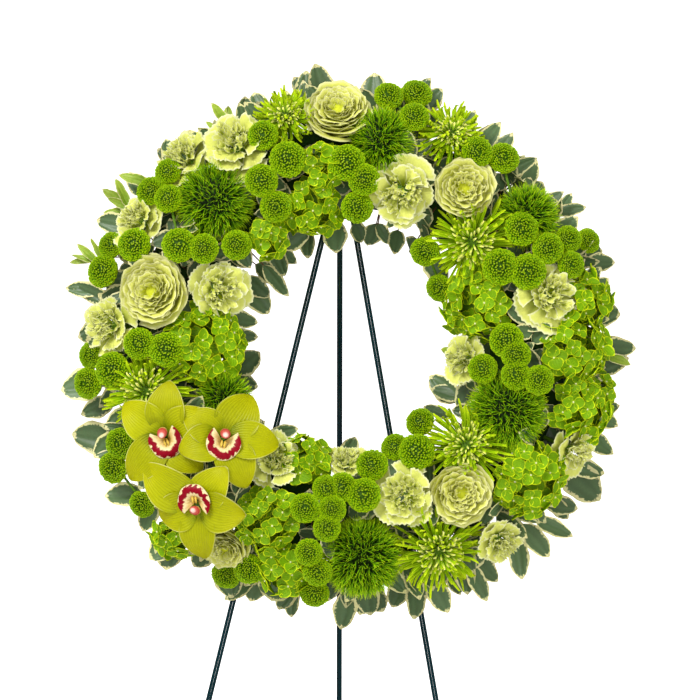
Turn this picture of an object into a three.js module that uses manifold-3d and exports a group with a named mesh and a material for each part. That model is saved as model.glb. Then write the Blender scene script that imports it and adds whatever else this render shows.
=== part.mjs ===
// A standing funeral wreath: a floral foam ring in a plastic tray, dressed with green and ivory flowers
// and a fringe of variegated leaves, hung by its inner edge on the hook of a folding three-legged wire easel.
// Units are millimetres, +Z is up, and the wreath faces -Y.
import * as THREE from "three";
import { mergeVertices } from "three/addons/utils/BufferGeometryUtils.js";
import Module from "manifold-3d";

const wasm = await Module();
wasm.setup();

// ---- Driving dimensions -------------------------------------------------------------------------------
const RING_HEIGHT = 1000; // ring centre above the floor
const LEAN = 10; // degrees that the front legs and the wreath lean back
const TUBE_RADIUS = 181; // ring centre to the middle of the foam
const FOAM_HALF_WIDTH = 38.5;
const FOAM_HALF_DEPTH = 25;
const FOAM_CHAMFER = 10;
const TRAY_WALL = 1.5;
const TRAY_RIM = -14; // how far up the foam the tray reaches
const GAP = 0.3; // air between pieces that touch
const REACH_HALF = 86; // half the width of the band of flowers
const FLOWER_DEPTH = 80; // middle of the foam to the front of the flowers

const WIRE = 3; // radius of the easel's leg wire
const APEX_X = -8; // the easel stands a little left of the ring's middle
const APEX_Y = 187; // ring centre to where the front legs' lines meet, up the slope
const LEG_TOP_Y = 174; // the front legs stop here, almost touching
const LEFT_SPLAY = 0.2457; // sideways run of each front leg for each mm down the slope
const RIGHT_SPLAY = 0.1716;
const LEG_APART = 1.3; // how far the front legs' lines pass from the apex
const PIVOT_Y = 150;
const PIVOT_HALF = 22;
const BACK_LEG_X = -10.5;
const BACK_LEG_DRIFT = 0.003; // sideways run of the back leg, to the left
const BACK_LEG_LEAN = 18; // degrees from upright, leg open
const FOOT_RUN = 1300; // legs are cut from wire this long, at the floor
const CROSS_BAR_Y = 131.5;
const HOOK_Y = 136.6; // the ring's inner edge rests on the hook here
const HOOK_WIRE = 2.5;
const HOOK_REACH = 32;

const STEM_END = 12; // how near the middle of the foam a stem stops
const STEM_CLEARANCE = 0.4;
const KEEP_OUT = 0.45; // what each flower keeps clear of its neighbours

const DEG = Math.PI / 180;
const FOAM_OUTER = TUBE_RADIUS + FOAM_HALF_WIDTH;
const FOAM_INNER = TUBE_RADIUS - FOAM_HALF_WIDTH;
const TRAY_BACK = -(FOAM_HALF_DEPTH + GAP + TRAY_WALL);
const LEG_PLANE = TRAY_BACK - GAP - WIRE;
const PIVOT_Z = LEG_PLANE - 2 * WIRE - GAP;

// ---- Where the flowers sit ------------------------------------------------------------------------------
// Each flower is [clock degrees from the top, reach from the ring's centre in mm, width in mm].
const ROSES = [[357, 229, 66], [37, 189, 60], [284, 201, 70], [144, 188, 62], [211, 239, 48]];
const CARNATIONS = [
  [19, 156, 66], [330, 229, 66], [318, 250, 56], [300, 247, 52], [291, 140, 56], [274, 243, 58],
  [77, 203, 62], [98, 116, 48], [161, 162, 56], [116, 251, 48], [143, 252, 50], [182, 120, 38],
];
const TRICK_DIANTHUS = [[316, 195, 84], [9, 204, 70], [55, 217, 70], [114, 172, 84], [177, 216, 86]];
const SPIDER_MUMS = [[344, 235, 68], [26, 231, 76], [51, 157, 96], [256, 209, 96], [132, 156, 90], [157, 227, 96]];
// A hydrangea head has one or more lobes, and the first lobe carries the stem.
const HYDRANGEAS = [
  [[344, 139, 62], [352, 178, 46], [321, 132, 44]],
  [[268, 145, 82]],
  [[74, 130, 74]],
  [[92, 225, 76], [80, 242, 58], [105, 243, 76]],
  [[128, 226, 78]],
  [[201, 127, 58]],
  [[205, 197, 66], [196, 238, 58]],
  [[222, 268, 50]],
];
// A spray of button mums branches from its first head: the fourth number is the head that each later one joins.
const MUM_SPRAYS = [
  [[341, 190, 34], [331, 181, 31, 0], [331, 152, 30, 1], [337, 222, 29, 0], [359, 176, 34, 0], [5, 160, 30, 4],
    [3, 133, 30, 5]],
  [[308, 230, 27], [307, 251, 28, 0], [313, 250, 26, 1], [299, 194, 32, 0], [302, 171, 28, 3], [310, 147, 28, 4]],
  [[294, 236, 32], [292, 261, 26, 0], [286, 260, 32, 1]],
  [[263, 239, 34], [261, 268, 30, 0], [267, 262, 26, 0], [269, 209, 30, 0], [267, 182, 33, 3]],
  [[246, 252, 30], [242, 271, 30, 0], [232, 266, 26, 1]],
  [[9, 250, 28], [15, 261, 30, 0], [16, 233, 28, 0]],
  [[65, 217, 30], [57, 203, 32, 0], [71, 233, 26, 0], [65, 241, 26, 0], [67, 262, 24, 3], [69, 189, 34, 0],
    [64, 166, 34, 5], [40, 239, 30, 1], [34, 227, 30, 7], [59, 105, 26, 6], [40, 117, 28, 9]],
  [[102, 168, 28], [95, 165, 28, 0], [90, 155, 32, 1], [102, 135, 28, 0], [102, 191, 28, 0]],
  [[186, 168, 26], [189, 149, 26, 0], [183, 146, 28, 1], [175, 154, 32, 2], [170, 126, 30, 3], [157, 115, 26, 4],
    [149, 129, 34, 5], [139, 107, 27, 6], [195, 172, 28, 0], [187, 187, 26, 0], [191, 214, 26, 9],
    [188, 232, 28, 10], [188, 255, 28, 11], [204, 249, 30, 11], [208, 266, 28, 13]],
];
// An orchid's sepals and petals are [clock direction, length, width].
const ORCHIDS = [
  {
    clock: 222, reach: 228, proud: 12, lip: 0,
    tepals: [[44, 46, 34], [104, 50, 40], [180, 52, 36], [254, 46, 38], [308, 62, 42]],
  },
  {
    clock: 232, reach: 158, proud: 9, lip: 192,
    tepals: [[34, 52, 42], [98, 56, 36], [155, 54, 38], [252, 46, 36], [306, 46, 34]],
  },
  {
    clock: 243, reach: 207, proud: 1, lip: 160,
    tepals: [[3, 60, 38], [58, 48, 36], [132, 50, 36], [222, 60, 36], [303, 54, 38]],
  },
];
// Leaves are [clock and reach of the tip, length, width, turn of the leaf away from the radial direction].
const OUTER_LEAVES_RIGHT = [
  [5, 276, 38, 26, -8], [17, 281, 34, 14, 18], [20, 268, 28, 18, 25], [29, 255, 26, 12, 27], [32, 262, 30, 22, -26],
  [38, 258, 24, 16, 10], [50, 260, 34, 24, -10], [56, 275, 30, 14, -20], [60, 278, 32, 14, 19], [64, 274, 28, 10, -17],
  [74, 278, 24, 14, 16], [84, 277, 34, 28, 10], [89, 277, 28, 16, -18], [91, 287, 32, 18, 1], [94, 287, 32, 12, 12],
  [98, 268, 28, 16, 40], [103, 281, 28, 12, -27], [113, 286, 40, 18, 12], [122, 298, 50, 34, 11], [129, 281, 26, 16, 13],
  [131, 295, 38, 16, -16], [137, 294, 40, 20, 4], [144, 293, 42, 20, 29], [152, 292, 38, 16, 1], [156, 277, 28, 14, -6],
  [160, 288, 38, 22, -8], [167, 283, 42, 24, 17], [171, 262, 30, 20, 30], [176, 272, 28, 24, -2],
];
const OUTER_LEAVES_LEFT = [
  [182, 287, 38, 20, 12], [192, 281, 32, 15, -14], [205, 282, 36, 30, -30], [206, 288, 34, 14, 31],
  [219, 293, 34, 28, -30], [238, 289, 34, 22, 28], [252, 293, 40, 30, 26], [261, 293, 40, 30, -1],
  [271, 273, 30, 24, -20], [282, 294, 46, 20, 11], [288, 301, 30, 7, 3], [292, 285, 24, 7, 40],
  [296, 290, 34, 24, -14], [301, 290, 26, 9, -6], [305, 292, 32, 11, 30], [309, 274, 26, 14, 30],
  [318, 282, 30, 20, 25], [323, 260, 26, 16, -30], [327, 273, 24, 8, -20], [332, 275, 28, 7, 25],
  [334, 262, 28, 16, -40], [339, 278, 34, 24, -1], [348, 273, 28, 16, -24], [353, 284, 42, 24, -8],
  [358, 264, 28, 22, 40],
];
const INNER_LEAVES_RIGHT = [
  [7, 105, 24, 18, 150], [20, 112, 24, 14, 130], [94, 93, 22, 12, -168], [112, 88, 42, 26, -159], [129, 108, 28, 14, 162],
  [177, 96, 28, 20, -154],
];
const INNER_LEAVES_LEFT = [
  [212, 103, 33, 16, -135], [245, 106, 28, 20, -135], [264, 92, 34, 26, 150], [274, 94, 32, 16, 180],
  [291, 88, 34, 26, -155], [307, 79, 42, 16, -165], [326, 101, 30, 16, 160], [334, 100, 32, 20, -150],
  [351, 95, 34, 26, -173],
];

// ---- Solids -----------------------------------------------------------------------------------------------
// A three.js geometry as a manifold-3d solid: only positions are kept, and collapsed triangles are dropped.
function solid(geometry) {
  const loose = geometry.index ? geometry.toNonIndexed() : geometry;
  const bare = new THREE.BufferGeometry().setAttribute("position", loose.getAttribute("position"));
  const merged = mergeVertices(bare, 1e-3);
  const corners = merged.index.array;
  const kept = [];
  for (let i = 0; i < corners.length; i += 3) {
    const [a, b, c] = [corners[i], corners[i + 1], corners[i + 2]];
    if (a !== b && b !== c && a !== c) kept.push(a, b, c);
  }
  const make = (triangles) =>
    new wasm.Manifold(
      new wasm.Mesh({
        numProp: 3,
        vertProperties: merged.attributes.position.array,
        triVerts: new Uint32Array(triangles),
      }),
    );
  const made = make(kept);
  return made.volume() < 0 ? make(kept.reverse()) : made;
}

// A manifold-3d solid as a three.js geometry.
function geometryOf(made) {
  const mesh = made.getMesh();
  const positions = new Float32Array(mesh.numVert * 3);
  for (let i = 0; i < mesh.numVert; i++) {
    positions.set(mesh.vertProperties.subarray(i * mesh.numProp, i * mesh.numProp + 3), i * 3);
  }
  const indexed = new THREE.BufferGeometry()
    .setAttribute("position", new THREE.BufferAttribute(positions, 3))
    .setIndex(new THREE.BufferAttribute(mesh.triVerts, 1));
  const flat = indexed.toNonIndexed();
  flat.computeVertexNormals();
  return flat;
}

const join = (solids) => solids.reduce((whole, next) => whole.add(next));

// A straight round rod from a to b.
function rod(a, b, radius, sides = 5) {
  const along = new THREE.Vector3().subVectors(b, a);
  const middle = new THREE.Vector3().addVectors(a, b).multiplyScalar(0.5);
  const turn = new THREE.Quaternion().setFromUnitVectors(new THREE.Vector3(0, 1, 0), along.clone().normalize());
  const geometry = new THREE.CylinderGeometry(radius, radius, along.length(), sides);
  geometry.applyQuaternion(turn);
  geometry.translate(middle.x, middle.y, middle.z);
  return solid(geometry);
}

// A round wire of the given radius swept along a smooth path.
function wire(points, radius, sides, steps) {
  const section = new THREE.Shape();
  for (let i = 0; i < sides; i++) {
    const angle = (i / sides) * 2 * Math.PI;
    const point = [radius * Math.cos(angle), radius * Math.sin(angle)];
    if (i) section.lineTo(...point);
    else section.moveTo(...point);
  }
  const extrudePath = new THREE.CatmullRomCurve3(points);
  return solid(new THREE.ExtrudeGeometry(section, { steps, extrudePath, bevelEnabled: false }));
}

// A turned shape about +Z. Profile points are [radius, height]. Waves frill the rim.
const FRILL = 0.06;

function turned(profile, sides, waves = 0) {
  const geometry = new THREE.LatheGeometry(profile.map(([r, z]) => new THREE.Vector2(r, z)), sides);
  geometry.rotateX(Math.PI / 2);
  const place = geometry.getAttribute("position");
  const widest = Math.max(...profile.map(([r]) => r));
  for (let i = 0; waves && i < place.count; i++) {
    const [x, y] = [place.getX(i), place.getY(i)];
    const share = Math.hypot(x, y) / widest;
    const swell = 1 - FRILL * share ** 3 * (1 - Math.cos(waves * Math.atan2(y, x)));
    place.setXY(i, x * swell, y * swell);
  }
  return geometry;
}

// ---- Places on the ring -----------------------------------------------------------------------------------
// Ring coordinates: x right, y up the slope, z out of the wreath's face.
const onRing = (clock, reach, z) =>
  new THREE.Vector3(reach * Math.sin(clock * DEG), reach * Math.cos(clock * DEG), z);

// Where a flower of this cap height sits, and the way that it faces.
function seat(clock, reach, cap, proud = 0) {
  const share = THREE.MathUtils.clamp((reach - TUBE_RADIUS) / REACH_HALF, -0.93, 0.93);
  const around = Math.asin(share);
  const tilt = 0.8 * around;
  const centre = onRing(clock, reach, FLOWER_DEPTH * Math.cos(around) - cap + proud);
  const facing = onRing(clock, Math.sin(tilt), Math.cos(tilt));
  return { centre, facing };
}

// Moves a geometry from its own frame, +Z facing out and +Y towards `spin` on the clock, to its seat.
function atSeat(geometry, { centre, facing }, spin = 0) {
  const up = onRing(spin, 1, 0);
  const side = new THREE.Vector3().crossVectors(up, facing).normalize();
  const top = new THREE.Vector3().crossVectors(facing, side);
  const frame = new THREE.Matrix4().makeBasis(side, top, facing).setPosition(centre);
  return geometry.applyMatrix4(frame);
}

const baseOf = ({ centre, facing }, depth) => centre.clone().addScaledVector(facing, -depth);

// A stem from the underside of a flower to a point inside the foam.
function stem(base, radius) {
  const clock = Math.atan2(base.x, base.y) / DEG;
  const heart = onRing(clock, TUBE_RADIUS, 0);
  const inward = new THREE.Vector3().subVectors(base, heart).setLength(STEM_END);
  return rod(heart.add(inward), base, radius, 4);
}

// ---- Flowers ----------------------------------------------------------------------------------------------
// Each flower has a head, the room that its neighbours leave it, and a stem that takes how much fatter to make it.
const ROOM_SIDES = 8;

function turnedFlower([clock, reach, width], kind) {
  const radius = width / 2;
  const place = seat(clock, reach, kind.cap * radius, kind.proud);
  const sized = (profile, size) => profile.map(([r, z]) => [r * size, z * size]);
  const around = (radius + KEEP_OUT) / Math.cos(Math.PI / ROOM_SIDES);
  const roomProfile = [[0, -kind.depth], [1, -kind.depth * 0.55], [1, kind.cap * 0.45], [0.4, kind.cap], [0, kind.cap]];
  return {
    head: () => solid(atSeat(turned(sized(kind.profile, radius), kind.sides, kind.waves), place, clock)),
    room: () => solid(atSeat(turned(sized(roomProfile, around), ROOM_SIDES), place, clock)),
    stem: (grow) => stem(place.centre, kind.stem + grow),
    base: baseOf(place, kind.depth * radius - 1.5),
  };
}

// Profiles are in units of the flower's radius, from the underside up to the crown.
const KINDS = {
  rose: {
    cap: 0.55, depth: 0.75, stem: 2.4, sides: 10, waves: 5,
    profile: [[0, -0.75], [0.35, -0.68], [1, 0], [0.72, 0.44], [0, 0.55]], proud: 2,
  },
  carnation: {
    cap: 0.5, depth: 0.95, stem: 2, sides: 10, waves: 5,
    profile: [[0, -0.95], [0.26, -0.92], [0.3, -0.42], [1, 0], [0.7, 0.4], [0, 0.5]], proud: 1,
  },
  trick: {
    cap: 0.72, depth: 0.66, stem: 2.2, sides: 10, waves: 0,
    profile: [[0, -0.66], [0.75, -0.45], [1, 0.1], [0.72, 0.56], [0, 0.72]], proud: 3,
  },
  spider: {
    cap: 0.42, depth: 0.36, stem: 2.4, sides: 14, waves: 7,
    profile: [[0, -0.36], [0.6, -0.26], [1, 0], [0.55, 0.34], [0, 0.42]], proud: 2,
  },
  lobe: {
    cap: 0.5, depth: 0.42, stem: 3, sides: 10, waves: 5,
    profile: [[0, -0.42], [0.7, -0.32], [1, 0], [0.7, 0.38], [0, 0.5]], proud: 0,
  },
  button: {
    cap: 0.5, depth: 0.5, stem: 1.5, sides: 7, waves: 0,
    profile: [[0, -0.5], [0.95, -0.15], [0.9, 0.2], [0, 0.5]], proud: 3,
  },
};

// Several heads on one branching stalk. A head's fourth number is the head that its own stalk springs from.
function spray(heads, kind, stalk) {
  const parts = heads.map((head) => turnedFlower(head, kind));
  return {
    head: () => join(parts.map((part) => part.head())),
    room: () => join(parts.map((part) => part.room())),
    stem: (grow) => {
      const stalks = heads.slice(1).map(([, , , from = 0], i) => rod(parts[from].base, parts[i + 1].base, stalk + grow, 4));
      return join([parts[0].stem(grow), ...stalks]);
    },
  };
}

// A cymbidium: three sepals and two petals round a scooped lip and a short column.
const TEPAL_THICKNESS = 2;
const WAIST = 7; // reach of the notch between two tepals
const LIP = 15;

// One tepal's edge from its left foot, over its tip, to its right foot, turned to its clock direction.
function tepalEdge([turn, length, width], grow) {
  const [sin, cos] = [Math.sin(turn * DEG), Math.cos(turn * DEG)];
  const side = [[width * 0.12, length * 0.22], [width * 0.5, length * 0.58], [width * 0.3, length * 0.9]];
  const left = side.map(([x, y]) => [-x - grow, y]);
  const right = side.map(([x, y]) => [x + grow, y]).reverse();
  const edge = [...left, [0, length + grow], ...right];
  return edge.map(([x, y]) => new THREE.Vector2(x * cos + y * sin, y * cos - x * sin));
}

function orchid({ clock, reach, proud, lip, tepals }) {
  const place = seat(clock, reach, 0, proud);
  const blades = (grow) => {
    const outline = tepals.flatMap((tepal, i) => {
      const next = i + 1 < tepals.length ? tepals[i + 1][0] : tepals[0][0] + 360;
      const notch = onRing((tepal[0] + next) / 2, WAIST + grow, 0);
      return [...tepalEdge(tepal, grow), new THREE.Vector2(notch.x, notch.y)];
    });
    const depth = TEPAL_THICKNESS + 2 * grow;
    const plate = new THREE.ExtrudeGeometry(new THREE.Shape(outline), { depth, bevelEnabled: false });
    plate.translate(0, 0, -depth / 2);
    return solid(atSeat(plate, place));
  };
  const scoop = (grow) => {
    const mouth = grow ? [[0, 13 + grow]] : [[LIP - 3, 13], [6, 3], [0, 2]];
    const cup = turned([[0, -3 - grow], [9 + grow, -1 - grow], [LIP + grow, 13 + grow], ...mouth], 8);
    cup.translate(0, 7, 0);
    return solid(atSeat(cup, place, lip));
  };
  const column = (grow) => {
    const post = new THREE.CylinderGeometry(4 + grow, 5 + grow, 18 + 2 * grow, 6);
    post.rotateX(118 * DEG);
    post.translate(0, -2, 8);
    return solid(atSeat(post, place, lip));
  };
  const whole = (grow) => join([blades(grow), scoop(grow), column(grow)]);
  return { head: () => whole(0), room: () => whole(KEEP_OUT), stem: (grow) => stem(place.centre, 2.2 + grow) };
}

// A sprig of leaves: a bent twig round one side of the foam, pegged into it, with each leaf on its own stalk.
const TWIG = 1.8;
const OUTER_TWIG = 227; // reach of the twigs round the outside of the tray, and inside the ring
const INNER_TWIG = 126;
const TWIG_STEP = 16; // clock degrees between a twig's bends
const STALK = 1.1;
const LEAF_PLANE = -8; // the twigs lie just clear of the tray's rim
const LEAF_THICKNESS = 0.9;
const LEAF_LAYER = 1.1; // leaves leave the twig in three layers, so that neighbours pass each other
const LEAF_LIFT = 10; // how far each layer's tips fan out from the next

function leaf([clock, reach, length, width, turn], twigReach, layer, grow) {
  const root = LEAF_PLANE + layer * LEAF_LAYER;
  const tip = onRing(clock, reach, root + layer * LEAF_LIFT);
  const flat = onRing(clock + turn, 1, 0);
  // The stalk runs straight back from the tip to the circle that the twig lies on.
  const [along, apart] = [tip.dot(flat), reach * Math.sin(turn * DEG)];
  const back = Math.sqrt(twigReach ** 2 - apart ** 2);
  const stretch = (reach > twigReach ? along - back : along + back) + TWIG;
  const heel = tip.clone().addScaledVector(flat, -stretch).setZ(root);
  const direction = new THREE.Vector3().subVectors(tip, heel);
  const whole = direction.length();
  direction.normalize();
  const half = width / 2 + grow;
  const side = [
    [STALK + grow, 0], [half, whole - length * 0.6], [half * 0.8, whole - length * 0.2], [0, whole + grow],
  ];
  const outline = new THREE.Shape(side.map(([x, y]) => new THREE.Vector2(x, y)));
  side.reverse().slice(1).forEach(([x, y]) => outline.lineTo(-x, y));
  const depth = LEAF_THICKNESS + 2 * grow;
  const blade = new THREE.ExtrudeGeometry(outline, { depth, bevelEnabled: false });
  blade.translate(0, 0, -depth / 2);
  const across = new THREE.Vector3().crossVectors(direction, new THREE.Vector3(0, 0, 1)).normalize();
  const frame = new THREE.Matrix4().makeBasis(across, direction, new THREE.Vector3().crossVectors(across, direction));
  return solid(blade.applyMatrix4(frame.setPosition(heel)));
}

function sprig(leaves, twigReach, from, to, pegs) {
  const inward = twigReach > TUBE_RADIUS ? -30 : 30;
  const twig = (grow) => {
    const steps = Math.ceil((to - from) / TWIG_STEP);
    const bend = (_, i) => onRing(from + ((to - from) * i) / steps, twigReach, LEAF_PLANE);
    return wire(Array.from({ length: steps + 1 }, bend), TWIG + grow, 5, steps);
  };
  const peg = (clock, grow) =>
    rod(onRing(clock, twigReach, LEAF_PLANE), onRing(clock, twigReach + inward, 0), TWIG + grow, 4);
  const whole = (grow) => join(leaves.map((one, i) => leaf(one, twigReach, (i % 3) - 1, grow)));
  return {
    head: () => whole(0),
    room: () => whole(KEEP_OUT),
    stem: (grow) => join([twig(grow), ...pegs.map((clock) => peg(clock, grow))]),
  };
}

// ---- Ring -------------------------------------------------------------------------------------------------
const RING_SIDES = 24;

function foamRing(grow) {
  const [inner, outer, depth] = [FOAM_INNER - grow, FOAM_OUTER + grow, FOAM_HALF_DEPTH + grow];
  const profile = [
    [inner + FOAM_CHAMFER, -depth], [outer - FOAM_CHAMFER, -depth], [outer, -depth + FOAM_CHAMFER],
    [outer, depth - FOAM_CHAMFER], [outer - FOAM_CHAMFER, depth], [inner + FOAM_CHAMFER, depth],
    [inner, depth - FOAM_CHAMFER], [inner, -depth + FOAM_CHAMFER], [inner + FOAM_CHAMFER, -depth],
  ];
  return solid(turned(profile, RING_SIDES));
}

function ringTray(grow) {
  const inner = FOAM_INNER - GAP - TRAY_WALL - grow;
  const outer = FOAM_OUTER + GAP + TRAY_WALL + grow;
  const [wall, back, floor] = [TRAY_WALL + 2 * grow, TRAY_BACK - grow, TRAY_BACK + TRAY_WALL + grow];
  const profile = [
    [inner, back], [outer, back], [outer, TRAY_RIM + grow], [outer - wall, TRAY_RIM + grow], [outer - wall, floor],
    [inner + wall, floor], [inner + wall, TRAY_RIM + grow], [inner, TRAY_RIM + grow], [inner, back],
  ];
  return solid(turned(profile, RING_SIDES));
}

// ---- Easel ------------------------------------------------------------------------------------------------
const pivot = new THREE.Vector3(BACK_LEG_X, PIVOT_Y, PIVOT_Z);

function onLeg(side, splay, y) {
  return new THREE.Vector3(APEX_X + side * (LEG_APART + splay * (APEX_Y - y)), y, LEG_PLANE);
}

// Everything below the floor, in ring coordinates.
function underFloor() {
  const slab = new THREE.BoxGeometry(2000, 2000, 400);
  slab.translate(0, 0, -200 - RING_HEIGHT);
  slab.rotateX(-(90 - LEAN) * DEG);
  return solid(slab);
}

function frontLeg(side, splay) {
  const top = onLeg(side, splay, LEG_TOP_Y);
  return rod(top, onLeg(side, splay, APEX_Y - FOOT_RUN), WIRE, 10).subtract(underFloor());
}

// The back leg ends in an eye that turns on the pivot bar.
function backLeg() {
  const angle = (BACK_LEG_LEAN + LEAN) * DEG;
  const along = new THREE.Vector3(-BACK_LEG_DRIFT, -Math.cos(angle), -Math.sin(angle)).normalize();
  const eyeWire = 2.5;
  const eyeRadius = WIRE + GAP + eyeWire;
  const eye = new THREE.TorusGeometry(eyeRadius, eyeWire, 6, 12);
  eye.rotateY(Math.PI / 2);
  eye.translate(pivot.x, pivot.y, pivot.z);
  const start = pivot.clone().addScaledVector(along, eyeRadius + 1);
  const leg = rod(start, pivot.clone().addScaledVector(along, FOOT_RUN), WIRE, 10);
  return join([leg, solid(eye)]).subtract(underFloor());
}

const pivotBar = () => rod(pivot.clone().setX(APEX_X - PIVOT_HALF), pivot.clone().setX(APEX_X + PIVOT_HALF), WIRE, 12);

function crossBar() {
  const z = LEG_PLANE + 2 * WIRE + GAP;
  const left = onLeg(-1, LEFT_SPLAY, CROSS_BAR_Y).x - 4;
  const right = onLeg(1, RIGHT_SPLAY, CROSS_BAR_Y).x + 4;
  return rod(new THREE.Vector3(left, CROSS_BAR_Y, z), new THREE.Vector3(right, CROSS_BAR_Y, z), WIRE, 10);
}

// The hook runs forward from the cross bar under the foam and turns up at its tip.
function hangerHook(grow) {
  const start = LEG_PLANE + 3 * WIRE + 2 * GAP;
  const points = [
    [CROSS_BAR_Y, start], [CROSS_BAR_Y, start + 3], [HOOK_Y - 1, start + 12], [HOOK_Y, 2], [HOOK_Y, HOOK_REACH - 6], [HOOK_Y + 2, HOOK_REACH],
    [HOOK_Y + 14, HOOK_REACH + 4],
  ];
  return wire(points.map(([up, out]) => new THREE.Vector3(APEX_X, up, out)), HOOK_WIRE + grow, 6, 9);
}

// ---- Assembly ---------------------------------------------------------------------------------------------
const COLOURS = {
  easel: [0x14332b, 0.45, 0.35], tray: [0x1f3b24, 0.6, 0], foam: [0x3f6b34, 0.95, 0], leaf: [0x5c7a52, 0.5, 0],
  rose: [0xd5dd96, 0.7, 0], carnation: [0xd9e2b0, 0.75, 0], trick: [0x4c8a0c, 0.8, 0], spider: [0x8fbf2a, 0.7, 0],
  hydrangea: [0x86bb17, 0.7, 0], button: [0x77a80f, 0.8, 0], orchid: [0xb8bd1e, 0.55, 0],
};
const numbered = (list, name, build, colour) =>
  list.map((item, i) => ({ name: `${name}_${i + 1}`, colour, ...build(item) }));
const flowers = [
  ...numbered(ORCHIDS, "orchid", orchid, "orchid"),
  ...numbered(MUM_SPRAYS, "button_mum_spray", (heads) => spray(heads, KINDS.button, 1.3), "button"),
  ...numbered(ROSES, "rose", (item) => turnedFlower(item, KINDS.rose), "rose"),
  ...numbered(CARNATIONS, "carnation", (item) => turnedFlower(item, KINDS.carnation), "carnation"),
  ...numbered(TRICK_DIANTHUS, "trick_dianthus", (item) => turnedFlower(item, KINDS.trick), "trick"),
  ...numbered(SPIDER_MUMS, "spider_mum", (item) => turnedFlower(item, KINDS.spider), "spider"),
  ...numbered(HYDRANGEAS, "hydrangea", (lobes) => spray(lobes, KINDS.lobe, 2), "hydrangea"),
  { name: "foliage_outer_right", colour: "leaf", ...sprig(OUTER_LEAVES_RIGHT, OUTER_TWIG, 1, 177.5, [48, 110, 165]) },
  { name: "foliage_outer_left", colour: "leaf", ...sprig(OUTER_LEAVES_LEFT, OUTER_TWIG, 179, 356, [200, 250, 325]) },
  { name: "foliage_inner_right", colour: "leaf", ...sprig(INNER_LEAVES_RIGHT, INNER_TWIG, -0.5, 184, [30, 85, 165]) },
  { name: "foliage_inner_left", colour: "leaf", ...sprig(INNER_LEAVES_LEFT, INNER_TWIG, 186, 353.6, [205, 280, 340]) },
];

const wreath = new THREE.Group();
wreath.rotation.x = (90 - LEAN) * DEG;
wreath.position.z = RING_HEIGHT;

function add(name, made, colour) {
  const [color, roughness, metalness] = COLOURS[colour];
  const mesh = new THREE.Mesh(geometryOf(made), new THREE.MeshStandardMaterial({ color, roughness, metalness }));
  mesh.name = name;
  wreath.add(mesh);
}

const meet = (a, b) => {
  const [p, q] = [a.boundingBox(), b.boundingBox()];
  return [0, 1, 2].every((i) => p.min[i] < q.max[i] && q.min[i] < p.max[i]);
};
const cut = (made, tools) => tools.filter((tool) => meet(made, tool)).reduce((left, tool) => left.subtract(tool), made);
const largest = (made) => made.decompose().sort((a, b) => b.volume() - a.volume())[0];

// Pieces already in place come first, and each flower gives way to those before it and to every other stem.
const ring = [foamRing(GAP), ringTray(GAP), hangerHook(GAP), crossBar()];
const stemSpace = flowers.map((flower) => flower.stem(STEM_CLEARANCE));
const headSpace = [];
flowers.forEach((flower, i) => {
  const others = stemSpace.filter((_, k) => k !== i);
  const stemSolid = cut(flower.stem(0), [ring[2], ...stemSpace.slice(0, i)]);
  const headSolid = cut(flower.head(), [...ring, ...others, ...headSpace]);
  const whole = headSolid.add(stemSolid);
  const kept = largest(whole);
  const lost = whole.volume() - kept.volume();
  if (lost > 20) console.log(`${flower.name} loses ${lost.toFixed(0)} mm3 of ${whole.volume().toFixed(0)}`);
  add(flower.name, kept, flower.colour);
  headSpace.push(flower.room());
});

add("foam_ring", cut(foamRing(0), stemSpace), "foam");
add("ring_tray", ringTray(0), "tray");
add("front_left_leg", frontLeg(-1, LEFT_SPLAY), "easel");
add("front_right_leg", frontLeg(1, RIGHT_SPLAY), "easel");
add("back_leg", backLeg(), "easel");
add("pivot_bar", pivotBar(), "easel");
add("cross_bar", crossBar(), "easel");
add("hanger_hook", hangerHook(0), "easel");

// The origin is on the floor, under the middle of the whole object.
const part = new THREE.Group();
part.add(wreath);
part.updateMatrixWorld(true);
const box = new THREE.Box3().setFromObject(part, true);
part.position.set(-(box.min.x + box.max.x) / 2, -(box.min.y + box.max.y) / 2, -box.min.z);

export default part;
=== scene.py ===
"""A standing funeral wreath on its wire easel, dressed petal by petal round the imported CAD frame."""
import math
import random
from functools import partial

import bmesh
import bpy
from bpy.props import FloatProperty, FloatVectorProperty, PointerProperty
from mathutils import Matrix, Vector


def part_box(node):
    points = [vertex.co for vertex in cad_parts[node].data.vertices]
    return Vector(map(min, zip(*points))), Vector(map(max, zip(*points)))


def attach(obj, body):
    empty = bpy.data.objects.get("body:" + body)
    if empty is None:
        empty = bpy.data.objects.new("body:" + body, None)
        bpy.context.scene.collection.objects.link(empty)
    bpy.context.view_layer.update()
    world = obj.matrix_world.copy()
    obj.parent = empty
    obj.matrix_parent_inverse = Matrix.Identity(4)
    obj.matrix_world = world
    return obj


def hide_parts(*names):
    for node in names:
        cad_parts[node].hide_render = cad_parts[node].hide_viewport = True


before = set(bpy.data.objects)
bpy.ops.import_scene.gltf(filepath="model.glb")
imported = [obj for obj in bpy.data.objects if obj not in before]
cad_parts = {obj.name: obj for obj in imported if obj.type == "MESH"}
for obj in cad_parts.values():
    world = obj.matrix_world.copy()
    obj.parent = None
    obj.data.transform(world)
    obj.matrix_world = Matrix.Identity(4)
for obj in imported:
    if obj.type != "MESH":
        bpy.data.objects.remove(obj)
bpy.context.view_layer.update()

bl_info = {
    "name": "Funeral wreath",
    "version": (1, 0, 0),
    "blender": (4, 5, 0),
    "location": "View3D > Sidebar > Wreath",
    "description": "Dresses a floral ring on a wire easel with roses, carnations, mums, hydrangeas and orchids",
    "category": "Object",
}

FRONT = "wreath_and_front"
MM = 0.001
TURN = 2 * math.pi
GOLDEN = TURN * 0.381966  # each next thing of a kind turns by this, which never lines them up

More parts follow.
